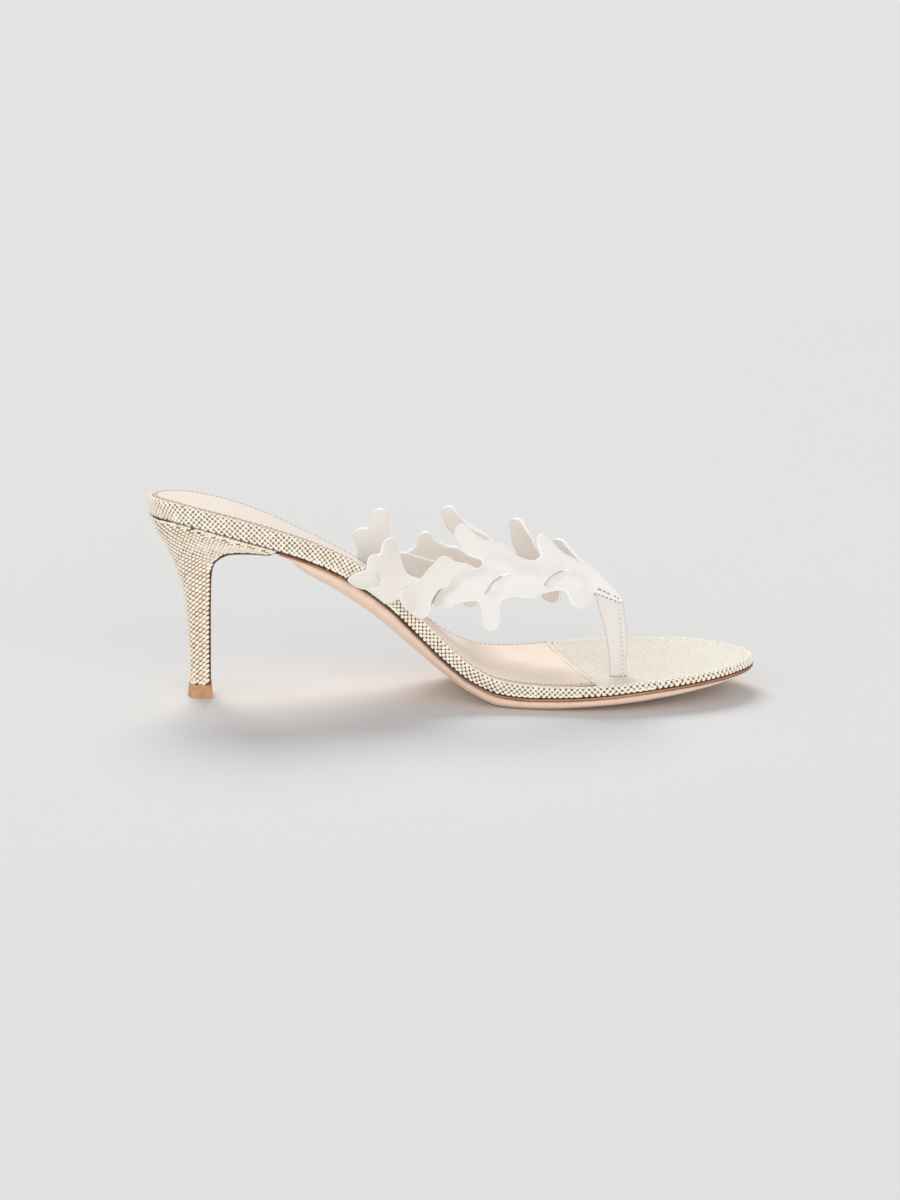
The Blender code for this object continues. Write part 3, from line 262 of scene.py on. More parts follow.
# ---------------------------------------------------------------- surfaces of the sole
def footbed_edge(x, y):
    return smooth(x, SECTIONS, "top") - smooth(x, SECTIONS, "cant") * y / 22.0


def footbed_top(x, y):
    x, y = np.asarray(x, float), np.asarray(y, float)
    half = np.where(y < 0, smooth(x, SECTIONS, "medial"), smooth(x, SECTIONS, "lateral"))
    half = np.maximum(half, 6.0)
    ends = np.clip(np.minimum(x - 2.0, LENGTH - 2.0 - x) / 16.0, 0, 1)
    toe = np.clip((x - SOCK_FRONT + 10.0) / 16.0, 0, 1)
    seat = SOCK_SEAT * (1 - toe * toe * (3 - 2 * toe))
    return footbed_edge(x, y) - DISH * ends * np.clip(1 - (y / half) ** 2, 0, 1) - seat


def seam(x, y):
    """Where the covered footbed meets the heel and the outsole."""
    return footbed_edge(x, y) - smooth(x, SECTIONS, "board")


def underside(x, y, inset):
    r = np.clip(np.asarray(inset, float) / BELLY_ROUND, 0, 1)
    bulge = np.sqrt(np.clip(1 - (1 - r) ** 2, 0, 1))
    z = seam(x, y) - GAP - EDGE - smooth(x, SECTIONS, "belly") * bulge
    return np.maximum(z, 0.0)



# ---------------------------------------------------------------- meshes
top_low, top_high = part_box("top_piece")
SHIFT = np.array([16.4 - top_low[0] * 1000, 5.4 - top_high[1] * 1000, 0.0])
rng = np.random.default_rng(7)


def put(name, points, faces, materials, pick=None, attributes=None, sharp=None, flat=False):
    """A piece from points in mm: materials is a list, pick the index for each face, attributes are floats for each point."""
    mesh = bpy.data.meshes.new(name)
    metres = (np.asarray(points, float) - SHIFT) * 0.001
    mesh.from_pydata([tuple(p) for p in metres], [], [tuple(int(i) for i in f) for f in faces])
    for material in materials:
        mesh.materials.append(material)
    if pick is not None:
        mesh.polygons.foreach_set("material_index", np.asarray(pick, np.int32))
    for key, values in (attributes or {}).items():
        mesh.attributes.new(key, "FLOAT", "POINT").data.foreach_set("value", np.asarray(values, np.float32))
    mesh.update()
    if not flat:
        mesh.shade_smooth()
    if sharp:
        mesh.set_sharp_from_angle(angle=math.radians(sharp))
    obj = bpy.data.objects.new(name, mesh)
    bpy.context.scene.collection.objects.link(obj)
    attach(obj, "root")
    return obj


def outward(obj):
    """Turns the faces of a closed mesh to point out."""
    import bmesh
    bm = bmesh.new()
    bm.from_mesh(obj.data)
    bmesh.ops.recalc_face_normals(bm, faces=bm.faces)
    bm.to_mesh(obj.data)
    bm.free()


def unit(v):
    return v / np.maximum(np.linalg.norm(v, axis=-1, keepdims=True), 1e-9)


def smoothstep(a, b, x):
    t = np.clip((np.asarray(x, float) - a) / (b - a), 0, 1)
    return t * t * (3 - 2 * t)


def wobble(x, y, seed, size):
    """Smooth random height over the plane, about -1 to 1, with bumps of the given size in mm."""
    r = np.random.default_rng(seed)
    out = 0.0
    for k in range(7):
        a, f, ph = r.uniform(0, math.pi), r.uniform(0.6, 1.5), r.uniform(0, 6.28)
        out = out + np.sin((x * math.cos(a) + y * math.sin(a)) * f * 2 * math.pi / (size * 2.2) + ph)
    return out / 3.5


def domes(centres, normals, along, long, wide, high, sides=8, rings=((0.5, 0.85), (0.88, 0.42), (1.02, -0.25)), square=1.0):
    """Points and faces of an oval dome at each centre, with its long axis along the given direction.

    long, wide and high are half length, half width and height in mm, each a number or one for each dome;
    square below 1 makes the oval squarer."""
    count = len(centres)
    normals = unit(normals)
    along = unit(along - normals * (along * normals).sum(1, keepdims=True))
    across = np.cross(normals, along)
    spread = lambda v: np.broadcast_to(np.asarray(v, float), (count,))[:, None]
    shape = [(0.0, 0.0, 1.0)]
    for r, h in rings:
        for i in range(sides):
            a = 2 * math.pi * (i + 0.5) / sides
            c, s = (math.copysign(abs(v) ** square, v) for v in (math.cos(a), math.sin(a)))
            shape.append((r * c, r * s, h))
    shape = np.array(shape)
    points = (centres[:, None, :] + along[:, None, :] * (spread(long) * shape[None, :, 0])[..., None]
              + across[:, None, :] * (spread(wide) * shape[None, :, 1])[..., None]
              + normals[:, None, :] * (spread(high) * shape[None, :, 2])[..., None])
    one = [(0, 1 + i, 1 + (i + 1) % sides) for i in range(sides)]
    for k in range(len(rings) - 1):
        a, b = 1 + k * sides, 1 + (k + 1) * sides
        one += [(a + i, b + i, b + (i + 1) % sides, a + (i + 1) % sides) for i in range(sides)]
    size = len(shape)
    faces = [tuple(i + n * size for i in f) for n in range(count) for f in one]
    return points.reshape(-1, 3), faces, size


def inside_loops(loops, points):
    """Whether each point lies inside the loops, the first being the outer one."""
    hit = np.zeros(len(points), bool)
    for loop in loops:
        a, b = loop, np.roll(loop, -1, axis=0)
        for (x0, y0), (x1, y1) in zip(a, b):
            if y0 == y1:
                continue
            span = (y0 > points[:, 1]) != (y1 > points[:, 1])
            hit ^= span & (points[:, 0] < (x1 - x0) * (points[:, 1] - y0) / (y1 - y0) + x0)
    return hit


class Plan:
    """The shoe's outline from above: rim points with the spine point that each one faces."""

    def __init__(self, first, last, heel_fan, toe_fan, trim=0.0, skew=0.0, round_points=61, stations=150):
        self.heel_fan, self.toe_fan = heel_fan, toe_fan
        shared = np.linspace(HEEL_ANCHOR, TOE_ANCHOR, stations)
        spine = np.array([first] + [s for s in shared if first + 0.4 < s < last - 0.4] + [last])
        sides = {}
        for sign, name in ((-1, "medial"), (1, "lateral")):
            share = np.clip((spine - (last - 50.0)) / 50.0, 0, 1) if skew else 0.0
            y = sign * smooth(spine, SECTIONS, name)
            for _ in range(6):
                x = spine - skew * share * y
                y = sign * (smooth(x, SECTIONS, name) - trim)
            sides[name] = np.stack([x, y], 1)
        self.spine = np.stack([spine, (sides["medial"][:, 1] + sides["lateral"][:, 1]) / 2], 1)
        self.count = len(spine)
        parts, anchors = [sides["medial"]], [self.spine]
        if toe_fan:
            fan = self.fan(TOE_ROUND, self.spine[-1], trim, round_points)
            parts.append(fan[1:-1])
            anchors.append(np.repeat(self.spine[-1:], len(fan) - 2, 0))
            parts[0][-1] = fan[0]
            sides["lateral"][-1] = fan[-1]
        parts.append(sides["lateral"][::-1])
        anchors.append(self.spine[::-1])
        if heel_fan:
            fan = self.fan(HEEL_ROUND, self.spine[0], trim, round_points)[::-1]
            parts.append(fan[1:-1])
            anchors.append(np.repeat(self.spine[:1], len(fan) - 2, 0))
            parts[0][0] = fan[-1]
            parts[-2][-1] = fan[0]
        self.rim, self.anchor = np.concatenate(parts), np.concatenate(anchors)
        size = len(self.rim)
        index = list(range(self.count))
        self.facing = index + ([self.count - 1] * (len(parts[1])) if toe_fan else [])
        self.facing += index[::-1]
        self.facing += [0] * (size - len(self.facing))
        self.closed = heel_fan

    @staticmethod
    def fan(rounding, centre, trim, count):
        curve = through(np.stack([rounding["x"], rounding["y"]], 1), count)
        reach = np.linalg.norm(curve - centre, axis=1)[:, None]
        return centre + (curve - centre) * (1 - trim / reach)

    def ring(self, inset, tuck=0.0):
        reach = np.linalg.norm(self.rim - self.anchor, axis=1)[:, None]
        more = tuck * np.clip((16.0 - self.rim[:, :1]) / 14.0, 0, 1)
        return self.anchor + (self.rim - self.anchor) * (1 - (inset + more) / reach)


def sole_piece(name, plan, layers, spine_top, spine_bottom, materials, sharp=None):
    """A closed piece from rings at given insets, from the top spine out, down the side and in below.

    Each point carries its layer as the attribute band, from 0 on top to the number of layers below."""
    size, rings = len(plan.rim), len(layers)
    points, band = [], []
    for k, (inset, height, *tuck) in enumerate(layers):
        ring = plan.ring(inset, *tuck)
        points.append(np.column_stack([ring, height(ring[:, 0], ring[:, 1], inset)]))
        band += [float(k)] * size
    points += [np.column_stack([plan.spine, spine_top(plan.spine[:, 0], plan.spine[:, 1])]),
               np.column_stack([plan.spine, spine_bottom(plan.spine[:, 0], plan.spine[:, 1])])]
    band += [0.0] * plan.count + [float(rings - 1)] * plan.count
    t0, b0 = size * rings, size * rings + plan.count
    m = plan.count - 1
    faces = []
    for i in range(size if plan.closed else size - 1):
        j = (i + 1) % size
        if not plan.toe_fan and i == m:
            continue
        fi, fj = plan.facing[i], plan.facing[j]
        for k in range(rings - 1):
            faces.append((k * size + i, (k + 1) * size + i, (k + 1) * size + j, k * size + j))
        last = (rings - 1) * size
        if fi == fj:
            faces += [(t0 + fi, i, j), (b0 + fi, last + j, last + i)]
        else:
            faces += [(t0 + fi, i, j, t0 + fj), (last + i, b0 + fi, b0 + fj, last + j)]

    def cut(i, other, s):
        down = [k * size + i for k in range(rings)]
        up = [k * size + other for k in range(rings - 1, -1, -1)]
        return [t0 + s] + down + [b0 + s] + up

    if not plan.heel_fan:
        faces.append(tuple(cut(0, size - 1, 0)[::-1]))
    if not plan.toe_fan:
        faces.append(tuple(cut(m, m + 1, m)))
    points = np.concatenate(points)
    return put(name, points, faces, materials, attributes={"band": band, "along": points[:, 0] / LENGTH}, sharp=sharp)


# ---------------------------------------------------------------- the canvas
class Skin:
    """A surface as a grid of points G[k, i]: k runs down, i runs along. It is measured in mm both ways."""

    def __init__(self, grid, start=None):
        grid = self.squared(grid)
        self.grid = grid
        step = np.linalg.norm(np.diff(grid, axis=0), axis=2)
        self.down = np.concatenate([np.zeros((1, grid.shape[1])), np.cumsum(step, axis=0)])
        row = grid[len(grid) // 2] if start is None else start
        self.run = np.concatenate([[0], np.cumsum(np.linalg.norm(np.diff(row, axis=0), axis=1))])

    @staticmethod
    def squared(grid):
        """The grid with its points slid along each closed row, so that its columns cross the rows squarely."""
        out, spot = [grid[0]], None
        for row in grid[1:]:
            n = len(row) - 1
            wide = np.concatenate([row[-41:-1], row, row[1:41]])
            run = np.concatenate([[0], np.cumsum(np.linalg.norm(np.diff(wide, axis=0), axis=1))])
            at = run[40:41 + n].copy() if spot is None else spot
            for _ in range(5):
                here = np.stack([np.interp(at, run, wide[:, c]) for c in range(3)], 1)
                ahead = np.stack([np.interp(at + 0.5, run, wide[:, c]) for c in range(3)], 1)
                behind = np.stack([np.interp(at - 0.5, run, wide[:, c]) for c in range(3)], 1)
                tangent = unit(ahead - behind)
                at = at + ((out[-1] - here) * tangent).sum(1)
            out.append(np.stack([np.interp(at, run, wide[:, c]) for c in range(3)], 1))
            spot = at
        return np.array(out)

    def at(self, s, t):
        """Points, normals, directions along, and which (s, t) are on the surface."""
        s, t = np.asarray(s, float), np.asarray(t, float)
        f = np.interp(s, self.run, np.arange(len(self.run)))
        i = np.clip(f.astype(int), 0, len(self.run) - 2)
        w = f - i

        def column(index):
            d = self.down[:, index]
            k = np.clip((d < t[None]).sum(0) - 1, 0, len(d) - 2)
            n = np.arange(len(t))
            a, b = d[k, n], d[k + 1, n]
            v = ((t - a) / np.maximum(b - a, 1e-6))[:, None]
            return self.grid[k, index] * (1 - v) + self.grid[k + 1, index] * v, self.grid[k + 1, index] - self.grid[k, index]

        p0, d0 = column(i)
        p1, d1 = column(i + 1)
        w1 = w[:, None]
        point, along, down = p0 * (1 - w1) + p1 * w1, unit(p1 - p0), unit(d0 * (1 - w1) + d1 * w1)
        most = self.down[-1, i] * (1 - w) + self.down[-1, i + 1] * w
        ok = (t <= most) & (t >= 0) & (s >= 0) & (s <= self.run[-1])
        return point, unit(np.cross(down, along)), along, ok


def weave(skin, pitch, lean, start, depth):
    """Where the yarns of a canvas show on a skin: (s, t, turn) with turn 0 or 1 for the two yarns.

    The crossings are spaced by pitch, and their rows lean by lean radians; both are given at every station of the skin.
    """
    run = skin.run
    total = lambda rate: np.concatenate([[0], np.cumsum((rate[1:] + rate[:-1]) / 2 * np.diff(run))])
    a, c = total(np.cos(lean) / pitch), total(-np.sin(lean) / pitch)
    a *= 2 * round(a[-1] / 2) / a[-1]
    c -= c[-1] * run / run[-1]
    b, d = np.sin(lean) / pitch, np.cos(lean) / pitch
    found = []
    for row in range(int((c + d * 0).min()) - 2, int((c + d * depth).max()) + 3):
        deep = (row - c) / d
        place = np.maximum.accumulate(a + b * deep)
        at = np.arange(int(place[0]) - 1, int(place[-1]) + 2)
        at = at[(at + row) % 2 == 0]
        s = np.interp(at, place, run, left=-1.0, right=-1.0)
        deep = np.interp(s, run, deep)
        keep = (s >= 0) & (s < run[-1] - 1e-6) & (deep > -0.4) & (deep < depth)
        found.append(np.stack([s[keep], start + np.maximum(deep[keep], 0.0), np.full(keep.sum(), row % 2)], 1))
    where = np.concatenate(found)
    # the last crossings are turned in just above the surface's lower edge
    most = np.interp(where[:, 0], run, skin.down[-1])
    where = where[where[:, 1] < most + 0.25]
    most = np.interp(where[:, 0], run, skin.down[-1])
    where[:, 1] = np.minimum(where[:, 1], most - 0.34)
    return where


def yarns(name, where, skin_at, size, material, tilt, attribute=None, sides=10, rings=None, jitter=0.05, scale=None, spin=None):
    """One joined mesh of yarn crossings at the given places."""
    point, normal, along, ok = skin_at
    point, normal, along, where = point[ok], normal[ok], along[ok], where[ok]
    count = len(point)
    turn = where[:, 2]
    side = np.cross(normal, along)
    angle = np.where(turn > 0.5, 1, -1) * math.radians(tilt) + rng.normal(0, 0.06, count)
    if spin is not None:
        angle = angle + spin[ok]
    direction = along * np.cos(angle)[:, None] + side * np.sin(angle)[:, None]
    grow = rng.normal(1.0, jitter, (count, 3))
    if scale is not None:
        grow *= scale[ok][:, None]
    centre = point + normal * rng.normal(0, 0.02, (count, 1)) + along * rng.normal(0, 0.03, (count, 1))
    extra = {} if rings is None else {"rings": rings}
    points, faces, each = domes(centre, normal, direction, size[0] * grow[:, 0], size[1] * grow[:, 1], size[2] * grow[:, 2], sides, square=0.78, **extra)
    tone = np.repeat(np.clip(rng.normal(0.5, 0.22, count), 0, 1), each)
    attributes = {"tone": tone}
    if attribute is not None:
        attributes.update({k: np.repeat(v[ok], each) for k, v in attribute.items()})
    return put(name, points, faces, [material], attributes=attributes)


def put_values(mesh, name, values):
    """A float value for each point of a mesh, for its materials."""
    layer = mesh.attributes.get(name) or mesh.attributes.new(name, "FLOAT", "POINT")
    layer.data.foreach_set("value", np.asarray(values, np.float32))


def tube(name, line, radius, material, sides=6, taper=True):
    """A thin round bead along a line, which can taper to both its ends."""
    ahead = unit(np.gradient(line, axis=0))
    side = unit(np.cross(ahead, np.array([0.0, -1.0, 0.0] if taper else [0.0, 0.0, 1.0])))
    up = np.cross(side, ahead)
    t = np.linspace(0, 1, len(line))
    size = radius * (np.minimum(1, np.maximum(0.12, np.sin(math.pi * t) ** 0.7)) if taper else np.ones(len(t)))
    points, faces = [], []
    for k in range(len(line)):
        for i in range(sides):
            a = 2 * math.pi * i / sides
            points.append(line[k] + size[k] * (math.cos(a) * side[k] + math.sin(a) * up[k]))
    for k in range(len(line) - 1):
        for i in range(sides):
            j = (i + 1) % sides
            faces.append((k * sides + i, k * sides + j, (k + 1) * sides + j, (k + 1) * sides + i))
    faces += [tuple(range(sides)), tuple(range(len(points) - 1, len(points) - 1 - sides, -1))]
    bead = put(name, points, faces, [material], attributes={"along": np.array(points)[:, 0] / LENGTH})
    outward(bead)
    return bead




# ---------------------------------------------------------------- materials
class Look:
    """A node material; sizes are in mm and heights in mm."""

    def __init__(self, name, roughness, **sockets):
        self.material = bpy.data.materials.new(name)
        self.material.use_nodes = True
        self.tree = self.material.node_tree
        self.shader = self.tree.nodes["Principled BSDF"]
        self.shader.inputs["Roughness"].default_value = roughness
        for key, value in sockets.items():
            self.shader.inputs[key.replace("_", " ")].default_value = value
        self.place = self.new("ShaderNodeTexCoord").outputs["Object"]

    def new(self, kind, **settings):
        node = self.tree.nodes.new(kind)
        for key, value in settings.items():
            setattr(node, key, value)
        return node

    def wire(self, a, b):
        if hasattr(a, "is_output"):
            self.tree.links.new(a, b)
        elif isinstance(a, (tuple, list)):
            b.default_value = (*a, 1) if len(a) == 3 else a
        else:
            b.default_value = a

    def noise(self, size, detail=2.0, roughness=0.5, stretch=None):
        node = self.new("ShaderNodeTexNoise")
        node.inputs["Scale"].default_value = 1000 / size
        node.inputs["Detail"].default_value = detail
        node.inputs["Roughness"].default_value = roughness
        place = self.place
        if stretch:
            mapping = self.new("ShaderNodeMapping")
            mapping.inputs["Scale"].default_value = stretch
            self.wire(place, mapping.inputs["Vector"])
            place = mapping.outputs["Vector"]
        self.wire(place, node.inputs["Vector"])
        return node.outputs["Fac"]

    def cells(self, size, feature="F1", randomness=1.0):
        node = self.new("ShaderNodeTexVoronoi", feature=feature)
        node.inputs["Scale"].default_value = 1000 / size
        node.inputs["Randomness"].default_value = randomness
        self.wire(self.place, node.inputs["Vector"])
        return node.outputs["Distance"]

    def value(self, name):
        return self.new("ShaderNodeAttribute", attribute_name=name).outputs["Fac"]

    def maths(self, operation, a, b=0.0, clamp=False):
        node = self.new("ShaderNodeMath", operation=operation, use_clamp=clamp)
        self.wire(a, node.inputs[0])
        self.wire(b, node.inputs[1])
        return node.outputs[0]

    def scale(self, value, low, high, to_low=0.0, to_high=1.0, soft=False):
        node = self.new("ShaderNodeMapRange", interpolation_type="SMOOTHSTEP" if soft else "LINEAR")
        self.wire(value, node.inputs["Value"])
        for key, number in (("From Min", low), ("From Max", high), ("To Min", to_low), ("To Max", to_high)):
            node.inputs[key].default_value = number
        return node.outputs["Result"]

    def mix(self, factor, a, b, blend="MIX"):
        node = self.new("ShaderNodeMix", data_type="RGBA", blend_type=blend)
        self.wire(factor, node.inputs[0])
        self.wire(a, node.inputs[6])
        self.wire(b, node.inputs[7])
        return node.outputs[2]

    def ramp(self, factor, stops):
        node = self.new("ShaderNodeValToRGB")
        ramp = node.color_ramp
        while len(ramp.elements) < len(stops):
            ramp.elements.new(0.5)
        for element, (place, colour) in zip(ramp.elements, stops):
            element.position = place
            element.color = (*colour, 1)
        self.wire(factor, node.inputs["Fac"])
        return node.outputs["Color"]

    def bump(self, *layers):
        """layers are (height 0 to 1, depth in mm, strength)."""
        normal = None
        for height, depth, strength in layers:
            node = self.new("ShaderNodeBump")
            node.inputs["Strength"].default_value = strength
            node.inputs["Distance"].default_value = depth * 0.001
            self.wire(height, node.inputs["Height"])
            if normal is not None:
                self.wire(normal, node.inputs["Normal"])
            normal = node.outputs["Normal"]
        self.wire(normal, self.shader.inputs["Normal"])

    def finish(self, colour=None, roughness=None):
        if colour is not None:
            self.wire(colour, self.shader.inputs["Base Color"])
        if roughness is not None:
            self.wire(roughness, self.shader.inputs["Roughness"])
        return self.material


def srgb(r, g, b):
    """Linear colour from screen values, 0 to 255."""
    return tuple(c / 255 / 12.92 if c <= 10 else ((c / 255 + 0.055) / 1.055) ** 2.4 for c in (r, g, b))


def yarn_look(name, pale, deep):
    look = Look(name, 0.82, Sheen_Weight=0.25, Sheen_Roughness=0.5, Specular_IOR_Level=0.25)
    tone = look.maths("ADD", look.value("tone"), look.scale(look.noise(0.5, 2), 0.3, 0.7, -0.2, 0.2))
    colour = look.mix(look.scale(tone, 0.0, 1.0), deep, pale)
    colour = look.mix(look.scale(look.noise(14.0, 2), 0.35, 0.7, 0.0, 0.16), colour, deep)
    look.bump((look.noise(0.16, 3, 0.6), 0.05, 0.6), (look.noise(0.06, 2), 0.02, 0.4))
    return look.finish(colour, look.scale(look.noise(0.3, 1), 0.3, 0.7, 0.75, 0.92))


def ground_look(name, dark, light, toe=None, heel=None):
    look = Look(name, 0.9, Specular_IOR_Level=0.2)
    # for the canvas, dark and light paint the shade in the gaps between the yarns
    colour = look.mix(look.scale(look.noise(0.35, 3), 0.35, 0.65), dark, light)
    # the footbed's cloth is darkened where it runs into the seam: partly the turned-under cloth, partly painted shade
    # of the gap
    colour = look.mix(look.value("seam"), colour, srgb(58, 40, 26))
    if heel:
        colour = look.mix(look.scale(look.value("along"), 0.12, 0.30, 0.85, 0.0, soft=True), colour, heel)
    # towards the toe the gaps are painted paler: a painted wash of light over the weave
    if toe:
        colour = look.mix(look.scale(look.value("along"), 0.80, 0.95, 0.0, 0.75, soft=True), colour, toe)
    look.bump((look.noise(0.2, 3), 0.08, 0.7))
    return look.finish(colour, look.scale(look.noise(0.4, 2), 0.3, 0.7, 0.82, 0.98))


def leather_layers(look, pore=0.42, strength=0.35, crease=0.5):
    """Grain of smooth leather: fine pores, a soft pebble and long faint creases."""
    grain = look.maths("POWER", look.cells(pore, "DISTANCE_TO_EDGE"), 0.5)
    creases = look.maths("POWER", look.cells(5.5, "DISTANCE_TO_EDGE"), 0.35)
    look.bump((grain, 0.035, strength), (look.noise(1.3, 3), 0.10, 0.35), (creases, 0.08, 0.10 * crease), (look.noise(7.0, 2), 0.5, 0.3 * crease))


def strap_look(name, face, rear, lining, edge):
    look = Look(name, 0.45, Sheen_Weight=0.05, Specular_IOR_Level=0.42, Coat_Weight=0.06, Coat_Roughness=0.35)
    mottle = look.scale(look.noise(9.0, 3), 0.3, 0.7)
    face = look.mix(look.scale(look.value("along"), 0.34, 0.64, soft=True), rear, face)
    outer = look.mix(look.maths("MULTIPLY", mottle, 0.05), face, (0.60, 0.55, 0.48))
    inner = look.mix(mottle, lining, tuple(c * f for c, f in zip(lining, (1.01, 0.97, 0.95))))
    inner = look.mix(look.scale(look.noise(0.6, 2), 0.35, 0.65, 0.0, 0.12), inner, (0.9, 0.87, 0.82))
    inner = look.mix(look.scale(look.value("along"), 0.415, 0.455, 1.0, 0.0, soft=True), inner, (0.80, 0.785, 0.775))
    colour = look.mix(look.scale(look.value("face"), 0.35, 0.65), inner, outer)
    rim = look.scale(look.maths("ADD", look.value("rim"), look.scale(look.noise(0.4, 2), 0.3, 0.7, -0.08, 0.08)), 0.45, 0.75)
    worn = look.mix(look.scale(look.noise(1.2, 3), 0.35, 0.75, 0.0, 0.5), edge, tuple(c * f for c, f in zip(edge, (0.97, 0.955, 0.93))))
    colour = look.mix(rim, colour, worn)
    leather_layers(look, 0.38, 0.30, 0.7)
    rough = look.mix(rim, look.scale(look.noise(0.9, 3), 0.3, 0.7, 0.40, 0.52), (0.62, 0.62, 0.62))
    return look.finish(colour, rough)


def sock_look(name, face, edge):
    look = Look(name, 0.62, Specular_IOR_Level=0.22, Sheen_Weight=0.05)
    colour = look.mix(look.scale(look.noise(16.0, 3), 0.3, 0.7), face, tuple(c * f for c, f in zip(face, (0.975, 0.95, 0.93))))
    colour = look.mix(look.scale(look.noise(0.5, 2), 0.4, 0.7, 0.0, 0.10), colour, tuple(0.85 * c for c in face))
    colour = look.mix(look.scale(look.value("along"), 0.35, 0.62, 0.0, 0.8, soft=True), colour, tuple(c * f for c, f in zip(face, (1.0, 0.94, 0.88))))
    rim = look.scale(look.value("band"), 2.2, 3.2)
    colour = look.mix(rim, colour, edge)
    leather_layers(look, 0.45, 0.35, 0.5)
    return look.finish(colour, look.scale(look.noise(1.4, 3), 0.3, 0.7, 0.62, 0.74))


def sole_look(name, nude):
    """The outsole: an edge painted brown where it shows under the arch, bare tan leather in the forepart."""
    look = Look(name, 0.5, Specular_IOR_Level=0.28, Coat_Weight=0.03, Coat_Roughness=0.3)
    band = look.scale(look.maths("ADD", look.value("band"), look.scale(look.noise(2.5, 3), 0.3, 0.7, -0.22, 0.22)), 0.0, 20.0)
    # the pale band at the edge's lower corner, just above the nude underside, is a painted highlight
    dark, red, tan, painted_corner_highlight = (0.035, 0.012, 0.006), (0.16, 0.045, 0.018), (0.50, 0.22, 0.10), (0.80, 0.62, 0.50)
    arch = look.ramp(band, [(0.0, dark), (0.30, dark), (0.38, red), (0.455, tan), (0.49, tan), (0.52, painted_corner_highlight), (0.56, nude), (1.0, nude)])
    fore = look.ramp(band, [(0.0, tan), (0.26, tan), (0.31, red), (0.34, dark), (0.43, red), (0.475, tan), (0.52, nude), (1.0, nude)])
    colour = look.mix(look.scale(look.value("along"), 0.50, 0.60, soft=True), arch, fore)
    rust = srgb(166, 92, 58)
    rear = look.ramp(band, [(0.0, dark), (0.20, dark), (0.27, red), (0.34, rust), (0.47, rust), (0.51, painted_corner_highlight), (0.55, nude), (1.0, nude)])
    colour = look.mix(look.scale(look.value("along"), 0.27, 0.37, soft=True), rear, colour)
    streak = look.noise(1.2, 3, 0.6, (1.0, 1.0, 0.15))
    colour = look.mix(look.scale(streak, 0.35, 0.75, 0.0, 0.18), colour, tuple(0.72 * c for c in nude))
    colour = look.mix(look.scale(look.noise(22.0, 2), 0.35, 0.65, 0.0, 0.22), colour, tuple(c * f for c, f in zip(nude, (1.04, 0.90, 0.84))))
    look.bump((look.maths("POWER", look.cells(0.5, "DISTANCE_TO_EDGE"), 0.5), 0.03, 0.22), (look.noise(3.0, 3), 0.12, 0.25))
    return look.finish(colour, look.scale(look.noise(2.0, 3), 0.3, 0.7, 0.30, 0.46))


def flap_look(name, nude):
    look = Look(name, 0.5, Specular_IOR_Level=0.25, Coat_Weight=0.03, Coat_Roughness=0.3)
    dark, red = (0.036, 0.022, 0.015), (0.062, 0.036, 0.024)
    side = look.mix(look.scale(look.noise(1.5, 3), 0.35, 0.65), dark, red)
    colour = look.mix(look.scale(look.value("rim"), 0.4, 0.6), nude, side)
    colour = look.mix(look.scale(look.noise(2.2, 3), 0.4, 0.75, 0.0, 0.2), colour, tuple(0.75 * c for c in nude))
    look.bump((look.maths("POWER", look.cells(0.5, "DISTANCE_TO_EDGE"), 0.5), 0.03, 0.2))
    return look.finish(colour, look.scale(look.noise(2.0, 3), 0.3, 0.7, 0.30, 0.46))


def rubber_look(name, tan):
    look = Look(name, 0.55, Specular_IOR_Level=0.4)
    colour = look.mix(look.scale(look.noise(2.6, 3, 0.5, (1.0, 1.0, 0.35)), 0.35, 0.7), tan, tuple(c * f for c, f in zip(tan, (0.62, 0.55, 0.5))))
    colour = look.mix(look.scale(look.noise(0.25, 2), 0.55, 0.75, 0.0, 0.35), colour, (0.75, 0.55, 0.4))
    look.bump((look.noise(0.35, 3), 0.06, 0.5), (look.noise(1.6, 2, 0.5, (1.0, 1.0, 0.2)), 0.08, 0.3))
    return look.finish(colour, look.scale(look.noise(0.8, 2), 0.3, 0.7, 0.45, 0.65))


def thread_look(name, pale, deep):
    look = Look(name, 0.7, Sheen_Weight=0.2)
    colour = look.mix(look.scale(look.noise(0.5, 2), 0.35, 0.65), pale, deep)
    look.bump((look.noise(0.12, 2), 0.04, 0.6))
    return look.finish(colour, look.scale(look.noise(0.4, 1), 0.3, 0.7, 0.6, 0.8))


def floor_look(name, tone):
    look = Look(name, 0.85, Specular_IOR_Level=0.15)
    colour = look.mix(look.scale(look.noise(900.0, 2), 0.35, 0.65), tone, tuple(c * 0.992 for c in tone))
    return look.finish(colour)


